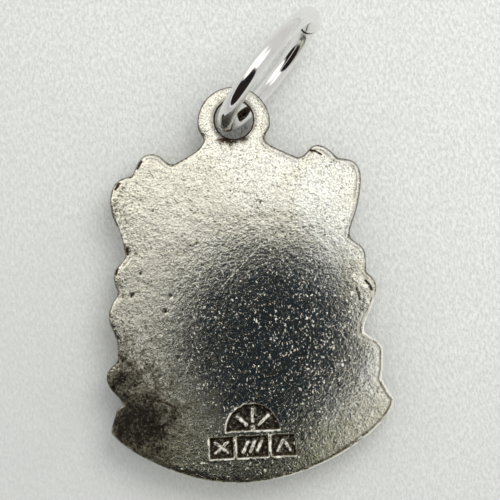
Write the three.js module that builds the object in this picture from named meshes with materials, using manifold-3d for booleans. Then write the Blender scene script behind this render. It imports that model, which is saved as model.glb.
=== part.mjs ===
import * as THREE from "three";
import { mergeVertices } from "three/addons/utils/BufferGeometryUtils.js";
import Module from "manifold-3d";

// A cast charm with a carrying ring, lying face down. Millimetres, +Z up out of the flat back, +Y from the
// middle of the charm towards its eye, +X to the right as seen from the back. The front rests on z = 0.

const wasm = await Module();
wasm.setup();

// Plate seen from the back: its width from side to side, and its height from the lower edge to the neck
// under the eye. Its outline and the leaves on it are drawn further down and stretched to these.
const PLATE_WIDTH = 13.3;
const PLATE_HEIGHT = 16.3;

// Heights.
const BACK_Z = 2.3;
const EYE_THICKNESS = 0.85;
const FACE_Z = 1.1;
const LAYER_OVERLAP = 0.25;
const DRAFT = 0.1;
const EDGE_ROUND = 0.14;
const RELIEF_SINK = 0.3;
const EYE_FRONT_Z = BACK_Z - EYE_THICKNESS;

// Wire of the carrying ring, and the play it has in the eye.
const WIRE_RADIUS = 0.39;
const HOLE_PLAY = 0.49;

// Eye: a round of metal cast in one with the plate, its hole a little above its middle.
const EYE_X = -0.02;
const EYE_ABOVE_NECK = 0.4;
const EYE_RADIUS = 1.7;
const EYE_LEFT_ANGLE = 185;
const EYE_RIGHT_ANGLE = -10;
const HOLE_RISE = 0.15;
const HOLE_RADIUS = WIRE_RADIUS + HOLE_PLAY;
const HOLE_CHAMFER_FRONT = 0.28;
const HOLE_CHAMFER_BACK = 0.1;
const HOLE_X = 0;

// Carrying ring: it stands almost upright through the eye, on the surface the charm lies on.
const RING_OUTER_RADIUS = 3.52;
const RING_AZIMUTH = 43;
const RING_LEAN = 7;
const RING_FROM_HOLE_MIDDLE = 0.09;
const RING_ASIDE = 0.12;
const RING_FLOOR_GAP = 0.003;
const RING_SEAM_ANGLE = -35;
const RING_SEAM_GAP = 0.06;

// Shield on the front, with a raised rim round a tray for the enamel.
const SHIELD_X = -0.25;
const SHIELD_HALF_WIDTH = 3.75;
const SHIELD_TOP = 5.75;
const SHIELD_SHOULDER = 1.2;
const SHIELD_TIP = -5.2;
const SHIELD_BELLY = 3.2;
const SHIELD_TIP_ROUND = 0.9;
const SHIELD_RIM = 0.5;
const SHIELD_EDGE = 0.12;
const TRAY_DEPTH = 0.75;
const ENAMEL_SINK = 0.14;
const ENAMEL_GAP = 0.03;

// Waves of metal across the tray, which part the enamel fields.
const WAVE_HEIGHT = 0.22;
const WAVE_LENGTH = 2.9;
const BROAD_WAVE_Y = 0;
const BROAD_WAVE_WIDTH = 0.95;
const THIN_WAVE_Y = -2.05;
const THIN_WAVE_WIDTH = 0.36;

// Round studs that stand in the upper enamel, placed from the middle of the shield.
const STUD_RADIUS = 0.46;
const STUD_SINK = 0.06;
const STUD_EDGE = 0.08;
const STUD_SPREAD = 1.75;
const STUD_HIGH_Y = 3.9;
const STUD_LOW_Y = 2.1;

// Ribbon along the lower edge, left blank but for a row of lozenges.
const RIBBON_X = -0.458;
const RIBBON_OUTER = 8.45;
const RIBBON_WIDTH = 2.05;
const RIBBON_MARGIN = 0.255;
const RIBBON_FRAME = 0.26;
const RIBBON_EDGE = 0.08;
const RIBBON_DEPTH = 0.28;
const RIBBON_LEFT_ANGLE = -127;
const RIBBON_RIGHT_ANGLE = -50;
const RIBBON_FRAME_ANGLE = 2.4;
const TAIL_ANGLE = 10;
const TAIL_NARROWING = 0.12;
const TAIL_SINK = 0.5;
const LOZENGE_COUNT = 7;
const LOZENGE_HALF = 0.42;
const LOZENGE_SINK = 0.08;
const LOZENGE_EDGE = 0.05;

// Battlemented crest between the shield and the eye.
const CREST_X = -0.2;
const CREST_HALF_WIDTH = 1.75;
const CREST_GAP = 0.15;
const CREST_WALL = 0.75;
const CREST_MERLON = 0.6;
const CREST_SINK = 0.45;
const CREST_EDGE = 0.06;

// Struck places in the back: a row of three squares with an arch over it, all a little tilted, each with
// plain raised bars, and a pip at the foot of the arch. The bars of a square are given in shares of the room
// that their margin leaves.
const STRUCK_DEPTH = 0.2;
const STRUCK_TILT_ANGLE = -2;
const ROW_X = -0.4;
const ROW_ABOVE_EDGE = 1.69;
const SQUARE_HEIGHT = 1;
const SQUARE_GAP = 0.165;
const LEFT_SQUARE_WIDTH = 1.1;
const MIDDLE_SQUARE_WIDTH = 1.44;
const RIGHT_SQUARE_WIDTH = 1.12;
const ARCH_GAP = 0.24;
const ARCH_ASIDE = 0.055;
const ARCH_RADIUS = 1.24;
const ARCH_RAY_ANGLES = [42, 90, 138];
const ARCH_RAY_FROM = 0.42;
const ARCH_PIP_RISE = 0.14;
const FIGURE_SINK = 0.06;
const FIGURE_MARGIN = 0.26;
const STROKE_HALF_WIDTH = 0.085;
const PIP_RADIUS = 0.13;
const PIP_SIDES = 10;
const CROSSED_BARS = [[-1, -1, 1, 1], [-1, 1, 1, -1]];
const LEANING_BARS = [[-0.95, -1, -0.45, 1], [-0.25, -1, 0.25, 1], [0.45, -1, 0.95, 1]];
const CHEVRON = [[-1, -1, 0, 1], [1, -1, 0, 1]];

// Outline of the plate as drawn, seen from the back. Each run goes from one notch or corner to the next.
const LEFT_RUNS = [
  [[-1.61, 8.45], [-1.48, 8.18], [-1.62, 7.94], [-1.85, 7.72], [-2.4, 7.42], [-3.06, 7.13]],
  [[-3.06, 7.13], [-3.34, 7.38], [-3.62, 7.65], [-4.06, 7.75], [-4.42, 7.6], [-4.7, 7.23], [-4.93, 6.77]],
  [
    [-4.93, 6.77], [-5.3, 6.75], [-5.67, 6.57], [-5.93, 6.2], [-6.06, 5.6], [-5.98, 4.9], [-5.7, 4.2],
    [-5.54, 3.07],
  ],
  [[-5.54, 3.07], [-5.8, 2.8], [-6.06, 2.55], [-6.19, 2.15], [-6.12, 1.72], [-6.0, 1.42]],
  [[-6.0, 1.42], [-6.26, 1.12], [-6.48, 0.7], [-6.57, 0.3], [-6.46, -0.2], [-6.28, -0.8], [-6.3, -1.73]],
  [[-6.3, -1.73], [-6.6, -1.95], [-6.85, -2.25], [-6.89, -2.6], [-6.7, -3.05], [-6.4, -3.4], [-6.22, -3.78]],
  [[-6.22, -3.78], [-6.52, -3.94], [-6.68, -4.35], [-6.93, -4.97]],
];
const BOTTOM_RUN = [
  [-6.93, -4.97], [-6.3, -5.68], [-5.05, -6.54], [-3.5, -7.3], [-2, -7.71], [-0.4, -7.85], [1.5, -7.61],
  [3.2, -7.08], [4.6, -6.36], [5.6, -5.62], [6.15, -5.02], [6.37, -4.55],
];
const RIGHT_RUNS = [
  [[6.37, -4.55], [6.16, -4.2], [6, -3.85], [5.83, -3.5]],
  [[5.83, -3.5], [5.96, -3], [6, -2.5], [6.01, -2.1], [5.8, -1.75], [5.45, -1.52], [5.17, -1.3]],
  [[5.17, -1.3], [5.29, -0.88], [5.56, -0.36], [5.82, 0.2], [5.96, 0.72], [5.86, 1.1], [5.53, 1.45]],
  [[5.53, 1.45], [5.57, 1.9], [5.57, 2.35], [5.42, 2.68], [5.18, 2.88], [4.88, 3.14]],
  [
    [4.88, 3.14], [5.02, 3.65], [5.31, 4.3], [5.5, 4.95], [5.66, 5.8], [5.58, 6.38], [5.26, 6.7],
    [4.63, 6.83],
  ],
  [[4.63, 6.83], [4.42, 7.13], [4.08, 7.42], [3.68, 7.54], [3.38, 7.38], [3.13, 7.12], [2.81, 7.01]],
  [[2.81, 7.01], [2.2, 7.35], [1.75, 7.6], [1.44, 7.82], [1.33, 8.02], [1.45, 8.25]],
];

// The thick part of the plate keeps this far from the edge of the hole, so that the ring can swing.
const HOLE_TO_THICK_PART = 0.67;

// Leaves of the mantling as drawn: spine from the shield outwards, half width and rise.
const LEAVES = [
  { spine: [[-1.9, 6.3], [-3, 6.55], [-3.9, 7.05], [-4.35, 7.5]], half: 0.62, rise: 0.7 },
  { spine: [[-3.2, 5.9], [-4.3, 6], [-5.1, 6.05], [-5.6, 6.5]], half: 0.6, rise: 0.8 },
  { spine: [[-3.7, 3.6], [-4.7, 4.3], [-5.3, 4.9], [-5.85, 5.75]], half: 0.75, rise: 0.75 },
  { spine: [[-3.8, 1.6], [-4.6, 2.5], [-5.3, 2.8], [-6.1, 2.4]], half: 0.68, rise: 0.85 },
  { spine: [[-3.7, -0.7], [-4.6, 0.4], [-5.5, 0.9], [-6.4, 0.55]], half: 0.75, rise: 0.8 },
  { spine: [[-3.4, -2.2], [-4.4, -0.9], [-5.3, -0.4], [-6.2, -0.5]], half: 0.6, rise: 0.65 },
  { spine: [[-2.6, -3.1], [-4.1, -2.3], [-5.4, -1.9], [-6.7, -2.3]], half: 0.8, rise: 0.85 },
  { spine: [[-2.2, -4.2], [-3.9, -3.6], [-5.3, -3], [-6.3, -3.2]], half: 0.55, rise: 0.6 },
  { spine: [[1.5, 6.3], [2.5, 6.5], [3.4, 6.9], [3.85, 7.3]], half: 0.6, rise: 0.7 },
  { spine: [[2.8, 5.9], [3.8, 6], [4.7, 6.05], [5.25, 6.45]], half: 0.6, rise: 0.8 },
  { spine: [[3.2, 3.6], [4.2, 4.3], [4.9, 4.9], [5.4, 5.75]], half: 0.75, rise: 0.75 },
  { spine: [[3.3, 1.6], [4.1, 2.5], [4.8, 2.75], [5.45, 2.35]], half: 0.66, rise: 0.85 },
  { spine: [[3.2, -0.7], [4.1, 0.5], [4.9, 1], [5.8, 0.75]], half: 0.72, rise: 0.8 },
  { spine: [[2.9, -2.2], [3.8, -1], [4.5, -0.4], [5.3, -0.35]], half: 0.58, rise: 0.65 },
  { spine: [[2.1, -3.1], [3.5, -2.3], [4.7, -1.8], [5.9, -2.1]], half: 0.8, rise: 0.85 },
  { spine: [[1.7, -4.2], [3.3, -3.5], [4.6, -2.9], [5.7, -3]], half: 0.52, rise: 0.6 },
];
const LEAF_STATIONS = 7;
const LEAF_VEIN_SHARE = 0.3;
const RELIEF_MARGIN = 0.1;

// The drawing stretched to the plate, and the places that follow from it.
const rad = THREE.MathUtils.degToRad;
const drawnPoints = [...LEFT_RUNS, BOTTOM_RUN, ...RIGHT_RUNS].flat();
const drawn = new THREE.Box2().setFromPoints(drawnPoints.map(([x, y]) => new THREE.Vector2(x, y)));
const drawnSize = drawn.getSize(new THREE.Vector2());
const onPlate = ([x, y]) => [(x * PLATE_WIDTH) / drawnSize.x, (y * PLATE_HEIGHT) / drawnSize.y];
const [, EDGE_Y] = onPlate([0, drawn.min.y]);
const [, NECK_Y] = onPlate([0, drawn.max.y]);
const EYE_Y = NECK_Y + EYE_ABOVE_NECK;
const HOLE_Y = EYE_Y + HOLE_RISE;
const RIBBON_Y = EDGE_Y + RIBBON_MARGIN + RIBBON_OUTER;
const RIBBON_INNER = RIBBON_OUTER - RIBBON_WIDTH;

// A point on the eye's outer circle.
const eyePoint = (degrees) => [
  EYE_X + EYE_RADIUS * Math.cos(rad(degrees)),
  EYE_Y + EYE_RADIUS * Math.sin(rad(degrees)),
];

// A closed geometry as a solid that can be joined and cut.
function solid(geometry) {
  const plain = new THREE.BufferGeometry();
  plain.setAttribute("position", geometry.getAttribute("position").clone());
  if (geometry.index) plain.setIndex(geometry.index.clone());
  const merged = mergeVertices(plain, 1e-4);
  const index = merged.index.array;
  const triangles = [];
  for (let i = 0; i < index.length; i += 3) {
    const [a, b, c] = [index[i], index[i + 1], index[i + 2]];
    if (a !== b && b !== c && c !== a) triangles.push(a, b, c);
  }
  return new wasm.Manifold(
    new wasm.Mesh({
      numProp: 3,
      vertProperties: new Float32Array(merged.attributes.position.array),
      triVerts: new Uint32Array(triangles),
    }),
  );
}

// A named mesh of a solid.
function piece(name, body, material) {
  const mesh = body.getMesh();
  const points = new Float32Array(mesh.numVert * 3);
  for (let i = 0; i < mesh.numVert; i++) {
    points.set(mesh.vertProperties.subarray(i * mesh.numProp, i * mesh.numProp + 3), i * 3);
  }
  const geometry = new THREE.BufferGeometry();
  geometry.setAttribute("position", new THREE.BufferAttribute(points, 3));
  geometry.setIndex(new THREE.BufferAttribute(new Uint32Array(mesh.triVerts), 1));
  const flat = geometry.toNonIndexed();
  flat.computeVertexNormals();
  const result = new THREE.Mesh(flat, material);
  result.name = name;
  return result;
}

// The shape drawn up from z = low to z = high. With an edge size, both its ends are rounded inwards by it.
function slab(shape, low, high, edge = 0, rounds = 1) {
  const geometry = new THREE.ExtrudeGeometry(shape, {
    depth: high - low - 2 * edge,
    steps: 1,
    curveSegments: 12,
    bevelEnabled: edge > 0,
    bevelThickness: edge,
    bevelSize: edge,
    bevelOffset: -edge,
    bevelSegments: rounds,
  });
  geometry.translate(0, 0, low + edge);
  return solid(geometry);
}

// A round tool turned about an upright axis, from its half profile given as [radius, z] from low to high.
function turned(profile, x, y, segments) {
  const points = profile.map(([r, z]) => new THREE.Vector2(r, z));
  const geometry = new THREE.LatheGeometry(points, segments);
  geometry.rotateX(Math.PI / 2);
  geometry.translate(x, y, 0);
  return solid(geometry);
}

// Points along a smooth run, without its last point.
function along(run, perStretch) {
  const curve = new THREE.SplineCurve(run.map(([x, y]) => new THREE.Vector2(x, y)));
  return curve.getPoints((run.length - 1) * perStretch).slice(0, -1);
}

function polygon(points) {
  return new THREE.Shape(points.map((p) => (p.isVector2 ? p : new THREE.Vector2(p[0], p[1]))));
}

// The two sides of the outline, from the eye down on the left and up to the eye on the right.
function leftSide() {
  const [first, ...others] = LEFT_RUNS.map((run) => run.map(onPlate));
  return [[eyePoint(EYE_LEFT_ANGLE), ...first], ...others].flatMap((run) => along(run, 2));
}
function rightSide() {
  const runs = RIGHT_RUNS.map((run) => run.map(onPlate));
  runs.at(-1).push(eyePoint(EYE_RIGHT_ANGLE));
  return runs.flatMap((run) => along(run, 2));
}

// Plate outline, going round by the left side, the bottom and the right side, then over the eye.
function plateOutline() {
  const points = [...leftSide(), ...along(BOTTOM_RUN.map(onPlate), 2), ...rightSide()];
  const steps = 32;
  for (let i = 0; i < steps; i++) {
    points.push(eyePoint(EYE_RIGHT_ANGLE + ((EYE_LEFT_ANGLE - EYE_RIGHT_ANGLE) * i) / steps));
  }
  return points;
}

// The outline of the thick part, without the eye and with a dip round the hole.
function faceOutline() {
  const radius = HOLE_RADIUS + HOLE_TO_THICK_PART;
  const dip = [];
  for (let degrees = -45; degrees >= -135; degrees -= 22.5) {
    dip.push([HOLE_X + radius * Math.cos(rad(degrees)), HOLE_Y + radius * Math.sin(rad(degrees))]);
  }
  const isBelow = (point) => point.y < dip[0][1];
  const left = leftSide().filter(isBelow);
  const right = rightSide().filter(isBelow);
  return [...left, ...along(BOTTOM_RUN.map(onPlate), 2), ...right, ...dip];
}

function shieldShape(inset) {
  const w = SHIELD_HALF_WIDTH - inset;
  const top = SHIELD_TOP - inset;
  const tip = SHIELD_TIP + 1.25 * inset;
  const bend = SHIELD_SHOULDER;
  const belly = bend - SHIELD_BELLY;
  const round = tip + SHIELD_TIP_ROUND;
  const shape = new THREE.Shape();
  shape.moveTo(SHIELD_X, tip);
  shape.bezierCurveTo(SHIELD_X + 0.62 * w, round, SHIELD_X + w, belly, SHIELD_X + w, bend);
  shape.lineTo(SHIELD_X + w, top);
  shape.lineTo(SHIELD_X - w, top);
  shape.lineTo(SHIELD_X - w, bend);
  shape.bezierCurveTo(SHIELD_X - w, belly, SHIELD_X - 0.62 * w, round, SHIELD_X, tip);
  return shape;
}

// A wavy bar right across the shield.
function waveShape(y, width) {
  const upper = [];
  const lower = [];
  const steps = 24;
  const reach = SHIELD_HALF_WIDTH - SHIELD_RIM / 2;
  for (let i = 0; i <= steps; i++) {
    const x = THREE.MathUtils.lerp(SHIELD_X - reach, SHIELD_X + reach, i / steps);
    const rise = y + WAVE_HEIGHT * Math.sin((2 * Math.PI * x) / WAVE_LENGTH);
    upper.push([x, rise + width / 2]);
    lower.push([x, rise - width / 2]);
  }
  return polygon([...lower, ...upper.reverse()]);
}

// Part of a band round the ribbon's centre.
const ribbonPoint = (radius, degrees) => [
  RIBBON_X + radius * Math.cos(rad(degrees)),
  RIBBON_Y + radius * Math.sin(rad(degrees)),
];
function sector(inner, outer, from, to, steps) {
  const points = [];
  for (let i = 0; i <= steps; i++) points.push(ribbonPoint(outer, from + ((to - from) * i) / steps));
  for (let i = steps; i >= 0; i--) points.push(ribbonPoint(inner, from + ((to - from) * i) / steps));
  return polygon(points);
}

// A leaf: two ridges with a vein between them, tapering to its tip, its foot sunk into the plate.
function leaf({ spine, half, rise }) {
  const curve = new THREE.SplineCurve(spine.map(onPlate).map(([x, y]) => new THREE.Vector2(x, y)));
  const foot = FACE_Z + RELIEF_SINK;
  const points = [];
  for (let i = 0; i < LEAF_STATIONS; i++) {
    const t = i / (LEAF_STATIONS - 1);
    const p = curve.getPoint(t);
    const d = curve.getTangent(t);
    const swell = Math.sin(Math.PI * (0.22 + 0.74 * t)) ** 0.8;
    const w = half * swell;
    const h = rise * Math.sin(Math.PI * (0.3 + 0.62 * t)) ** 0.6;
    const section = [
      [-w, foot],
      [-w, FACE_Z - 0.05 * h],
      [-0.72 * w, FACE_Z - 0.62 * h],
      [-0.36 * w, FACE_Z - h],
      [0, FACE_Z - (1 - LEAF_VEIN_SHARE) * h],
      [0.36 * w, FACE_Z - h],
      [0.72 * w, FACE_Z - 0.62 * h],
      [w, FACE_Z - 0.05 * h],
      [w, foot],
    ];
    for (const [s, z] of section) points.push(p.x - d.y * s, p.y + d.x * s, z);
  }
  const n = 9;
  const index = [];
  for (let i = 0; i + 1 < LEAF_STATIONS; i++) {
    for (let k = 0; k < n; k++) {
      const [a, b] = [i * n + k, i * n + ((k + 1) % n)];
      index.push(a, b, a + n, b, b + n, a + n);
    }
  }
  const last = (LEAF_STATIONS - 1) * n;
  for (let k = 1; k + 1 < n; k++) {
    index.push(0, k + 1, k);
    index.push(last, last + k, last + k + 1);
  }
  const geometry = new THREE.BufferGeometry();
  geometry.setAttribute("position", new THREE.Float32BufferAttribute(points, 3));
  geometry.setIndex(index);
  return solid(geometry);
}

// Places on the tilted row of squares: u along the row from its middle, v up from it.
const STRUCK_FLOOR = BACK_Z - STRUCK_DEPTH;
const STRUCK_FOOT = STRUCK_FLOOR - STRUCK_DEPTH;
const FIGURE_TOP = BACK_Z - FIGURE_SINK;
const onRow = ([u, v]) => [
  ROW_X + u * Math.cos(rad(STRUCK_TILT_ANGLE)) - v * Math.sin(rad(STRUCK_TILT_ANGLE)),
  EDGE_Y + ROW_ABOVE_EDGE + u * Math.sin(rad(STRUCK_TILT_ANGLE)) + v * Math.cos(rad(STRUCK_TILT_ANGLE)),
];

// A straight raised bar and a round pip, both standing on the floor of a struck place.
function bar([x0, y0], [x1, y1]) {
  const length = Math.hypot(x1 - x0, y1 - y0);
  const nx = (-(y1 - y0) / length) * STROKE_HALF_WIDTH;
  const ny = ((x1 - x0) / length) * STROKE_HALF_WIDTH;
  const corners = [[x0 - nx, y0 - ny], [x1 - nx, y1 - ny], [x1 + nx, y1 + ny], [x0 + nx, y0 + ny]];
  return slab(polygon(corners.map(onRow)), STRUCK_FOOT, FIGURE_TOP);
}
function pip(place) {
  const profile = [[0, STRUCK_FOOT], [PIP_RADIUS, STRUCK_FOOT], [PIP_RADIUS, FIGURE_TOP], [0, FIGURE_TOP]];
  return turned(profile, ...onRow(place), PIP_SIDES);
}

// Plate and eye: a thin layer with the whole outline, and a thicker one without the eye.
const faceShape = polygon(faceOutline());
const drafted = new THREE.ExtrudeGeometry(faceShape, {
  depth: EYE_FRONT_Z - FACE_Z,
  steps: 1,
  bevelEnabled: true,
  bevelThickness: LAYER_OVERLAP / 2,
  bevelSize: DRAFT,
  bevelOffset: -DRAFT - DRAFT / 5,
  bevelSegments: 1,
});
drafted.translate(0, 0, FACE_Z + LAYER_OVERLAP / 2);
let body = slab(polygon(plateOutline()), EYE_FRONT_Z, BACK_Z, EDGE_ROUND, 2).add(solid(drafted));

// The space that the front's relief keeps to, a little inside the outline.
const within = new THREE.ExtrudeGeometry(faceShape, {
  depth: EYE_FRONT_Z,
  steps: 1,
  bevelEnabled: true,
  bevelThickness: RELIEF_MARGIN / 2,
  bevelSize: RELIEF_MARGIN / 2,
  bevelOffset: -1.5 * RELIEF_MARGIN,
  bevelSegments: 1,
});
within.translate(0, 0, -RELIEF_MARGIN / 2);
const reliefSpace = solid(within);
const RELIEF_FOOT = FACE_Z + RELIEF_SINK;
for (const each of LEAVES) body = body.add(leaf(each).intersect(reliefSpace));

// Crest.
const merlon = (2 * CREST_HALF_WIDTH) / 5;
const crestFoot = SHIELD_TOP + CREST_GAP;
const crest = [];
for (let i = 0; i < 5; i++) {
  const y = crestFoot + CREST_WALL + (i % 2 ? 0 : CREST_MERLON);
  crest.push([CREST_X - CREST_HALF_WIDTH + i * merlon, y]);
  crest.push([CREST_X - CREST_HALF_WIDTH + (i + 1) * merlon, y]);
}
crest.push([CREST_X + CREST_HALF_WIDTH, crestFoot], [CREST_X - CREST_HALF_WIDTH, crestFoot]);
body = body.add(slab(polygon(crest), CREST_SINK, RELIEF_FOOT, CREST_EDGE).intersect(reliefSpace));

// Ribbon, with its two tails set back behind it.
const tails = slab(
  sector(
    RIBBON_INNER + TAIL_NARROWING,
    RIBBON_OUTER - TAIL_NARROWING,
    RIBBON_LEFT_ANGLE - TAIL_ANGLE,
    RIBBON_RIGHT_ANGLE + TAIL_ANGLE,
    30,
  ),
  TAIL_SINK,
  RELIEF_FOOT,
  RIBBON_EDGE,
);
body = body.add(tails.intersect(reliefSpace));
const band = sector(RIBBON_INNER, RIBBON_OUTER, RIBBON_LEFT_ANGLE, RIBBON_RIGHT_ANGLE, 26);
let ribbon = slab(band, 0, RELIEF_FOOT, RIBBON_EDGE);
const panel = sector(
  RIBBON_INNER + RIBBON_FRAME,
  RIBBON_OUTER - RIBBON_FRAME,
  RIBBON_LEFT_ANGLE + RIBBON_FRAME_ANGLE,
  RIBBON_RIGHT_ANGLE - RIBBON_FRAME_ANGLE,
  26,
);
ribbon = ribbon.subtract(slab(panel, -RIBBON_DEPTH, RIBBON_DEPTH));
const middle = (RIBBON_INNER + RIBBON_OUTER) / 2;
for (let i = 0; i < LOZENGE_COUNT; i++) {
  const degrees = RIBBON_LEFT_ANGLE + ((RIBBON_RIGHT_ANGLE - RIBBON_LEFT_ANGLE) * (i + 0.5)) / LOZENGE_COUNT;
  const [x, y] = ribbonPoint(middle, degrees);
  const corner = (turn) => [
    x + LOZENGE_HALF * Math.cos(rad(degrees + turn)),
    y + LOZENGE_HALF * Math.sin(rad(degrees + turn)),
  ];
  const lozenge = polygon([corner(0), corner(90), corner(180), corner(270)]);
  ribbon = ribbon.add(slab(lozenge, LOZENGE_SINK, RELIEF_FOOT, LOZENGE_EDGE));
}
body = body.add(ribbon.intersect(reliefSpace));

// Shield with its tray, the waves and the studs.
const tray = slab(shieldShape(SHIELD_RIM), -TRAY_DEPTH, TRAY_DEPTH);
const shieldCore = slab(shieldShape(SHIELD_RIM / 2), 0, RELIEF_FOOT);
body = body.add(slab(shieldShape(0), 0, RELIEF_FOOT, SHIELD_EDGE).intersect(reliefSpace)).subtract(tray);
body = body.add(slab(waveShape(BROAD_WAVE_Y, BROAD_WAVE_WIDTH), 0, RELIEF_FOOT).intersect(shieldCore));
body = body.add(slab(waveShape(THIN_WAVE_Y, THIN_WAVE_WIDTH), 0, RELIEF_FOOT).intersect(shieldCore));
const studPlaces = [
  [SHIELD_X - STUD_SPREAD, STUD_HIGH_Y],
  [SHIELD_X + STUD_SPREAD, STUD_HIGH_Y],
  [SHIELD_X, STUD_LOW_Y],
];
for (const [x, y] of studPlaces) {
  const profile = [
    [0, STUD_SINK],
    [STUD_RADIUS - STUD_EDGE, STUD_SINK],
    [STUD_RADIUS, STUD_SINK + STUD_EDGE],
    [STUD_RADIUS, RELIEF_FOOT],
    [0, RELIEF_FOOT],
  ];
  body = body.add(turned(profile, x, y, 20));
}

// Hole of the eye, eased at both faces.
const ease = EYE_THICKNESS / 4;
body = body.subtract(
  turned(
    [
      [0, EYE_FRONT_Z - ease],
      [HOLE_RADIUS + HOLE_CHAMFER_FRONT + ease, EYE_FRONT_Z - ease],
      [HOLE_RADIUS, EYE_FRONT_Z + HOLE_CHAMFER_FRONT],
      [HOLE_RADIUS, BACK_Z - HOLE_CHAMFER_BACK],
      [HOLE_RADIUS + HOLE_CHAMFER_BACK + ease, BACK_Z + ease],
      [0, BACK_Z + ease],
    ],
    HOLE_X,
    HOLE_Y,
    48,
  ),
);

// Struck places in the back.
const archFoot = SQUARE_HEIGHT / 2 + ARCH_GAP;
const archPoint = (radius, degrees) => [
  ARCH_ASIDE + radius * Math.cos(rad(degrees)),
  archFoot + radius * Math.sin(rad(degrees)),
];
const arch = [];
for (let i = 0; i <= 16; i++) arch.push(archPoint(ARCH_RADIUS, (180 * i) / 16));
body = body.subtract(slab(polygon(arch.map(onRow)), STRUCK_FLOOR, BACK_Z + STRUCK_DEPTH));
for (const degrees of ARCH_RAY_ANGLES) {
  body = body.add(bar(archPoint(ARCH_RAY_FROM, degrees), archPoint(ARCH_RADIUS - FIGURE_MARGIN, degrees)));
}
body = body.add(pip(archPoint(ARCH_PIP_RISE, 90)));

const halfMiddle = MIDDLE_SQUARE_WIDTH / 2;
const squares = [
  [-halfMiddle - SQUARE_GAP - LEFT_SQUARE_WIDTH / 2, LEFT_SQUARE_WIDTH, CROSSED_BARS],
  [0, MIDDLE_SQUARE_WIDTH, LEANING_BARS],
  [halfMiddle + SQUARE_GAP + RIGHT_SQUARE_WIDTH / 2, RIGHT_SQUARE_WIDTH, CHEVRON],
];
for (const [u, width, bars] of squares) {
  const [w, h] = [width / 2, SQUARE_HEIGHT / 2];
  const square = polygon([[u - w, -h], [u + w, -h], [u + w, h], [u - w, h]].map(onRow));
  body = body.subtract(slab(square, STRUCK_FLOOR, BACK_Z + STRUCK_DEPTH));
  const inside = (x, y) => [u + x * (w - FIGURE_MARGIN), y * (h - FIGURE_MARGIN)];
  for (const [x0, y0, x1, y1] of bars) body = body.add(bar(inside(x0, y0), inside(x1, y1)));
}

// Enamel fields: the tray less the waves and studs, with a hair's gap all round.
let enamel = slab(shieldShape(SHIELD_RIM + ENAMEL_GAP), ENAMEL_SINK, TRAY_DEPTH)
  .subtract(slab(waveShape(BROAD_WAVE_Y, BROAD_WAVE_WIDTH + 2 * ENAMEL_GAP), 0, 2 * TRAY_DEPTH))
  .subtract(slab(waveShape(THIN_WAVE_Y, THIN_WAVE_WIDTH + 2 * ENAMEL_GAP), 0, 2 * TRAY_DEPTH));
for (const [x, y] of studPlaces) {
  const radius = STUD_RADIUS + ENAMEL_GAP;
  const top = 2 * TRAY_DEPTH;
  enamel = enamel.subtract(turned([[0, 0], [radius, 0], [radius, top], [0, top]], x, y, 20));
}
const zone = (low, high) => slab(waveShape((low + high) / 2, high - low), 0, TRAY_DEPTH);
const upperField = enamel.intersect(zone(BROAD_WAVE_Y, SHIELD_TOP + WAVE_LENGTH));
const middleField = enamel.intersect(zone(THIN_WAVE_Y, BROAD_WAVE_Y));
const lowerField = enamel.intersect(zone(SHIELD_TIP - WAVE_LENGTH, THIN_WAVE_Y));

// Carrying ring: a round wire bent round, with a narrow seam where its ends meet. Its wire goes through the
// hole at half the eye's thickness, close to the hole's middle, and its lowest point is on the surface.
const bend = RING_OUTER_RADIUS - WIRE_RADIUS;
const azimuth = rad(RING_AZIMUTH);
const lean = rad(RING_LEAN);
const ringZ = bend * Math.cos(lean) + WIRE_RADIUS + RING_FLOOR_GAP;
const drop = (ringZ - (EYE_FRONT_Z + BACK_Z) / 2) / Math.cos(lean);
const ringAlong = RING_FROM_HOLE_MIDDLE + Math.sqrt(bend * bend - drop * drop);
const outward = new THREE.Vector3(Math.sin(azimuth), Math.cos(azimuth), 0);
const aside = new THREE.Vector3(-Math.cos(azimuth), Math.sin(azimuth), 0);
const upright = new THREE.Vector3(0, 0, Math.cos(lean)).addScaledVector(aside, Math.sin(lean));
const place = new THREE.Matrix4().makeBasis(outward, upright, outward.clone().cross(upright));
const centre = new THREE.Vector3(HOLE_X, HOLE_Y, ringZ);
centre.addScaledVector(outward, ringAlong).addScaledVector(aside, RING_ASIDE);
place.setPosition(centre);
const hoop = new THREE.TorusGeometry(bend, WIRE_RADIUS, 14, 64);
const saw = new THREE.BoxGeometry(4 * WIRE_RADIUS, RING_SEAM_GAP, 4 * WIRE_RADIUS);
saw.translate(bend, 0, 0);
saw.rotateZ(rad(RING_SEAM_ANGLE));
const ring = solid(hoop.applyMatrix4(place)).subtract(solid(saw.applyMatrix4(place)));

const silver = new THREE.MeshStandardMaterial({ color: 0xc9c5ba, metalness: 1, roughness: 0.42 });
const polished = new THREE.MeshStandardMaterial({ color: 0xdcdcda, metalness: 1, roughness: 0.12 });
const blue = new THREE.MeshStandardMaterial({ color: 0x1d3f8f, roughness: 0.12 });
const green = new THREE.MeshStandardMaterial({ color: 0x1f6b4a, roughness: 0.12 });

const charm = new THREE.Group();
charm.add(piece("charm_body", body, silver));
charm.add(piece("enamel_field", upperField, blue));
charm.add(piece("enamel_water_upper", middleField, green));
charm.add(piece("enamel_water_lower", lowerField, green.clone()));
charm.add(piece("jump_ring", ring, polished));

export default charm;
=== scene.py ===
"""A cast silver crest charm that lies face down, with its carrying ring standing up through the eye."""

import math

import bmesh
import bpy
import numpy as np
from bpy.props import FloatProperty, FloatVectorProperty, PointerProperty
from mathutils import Matrix, Vector, noise


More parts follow.
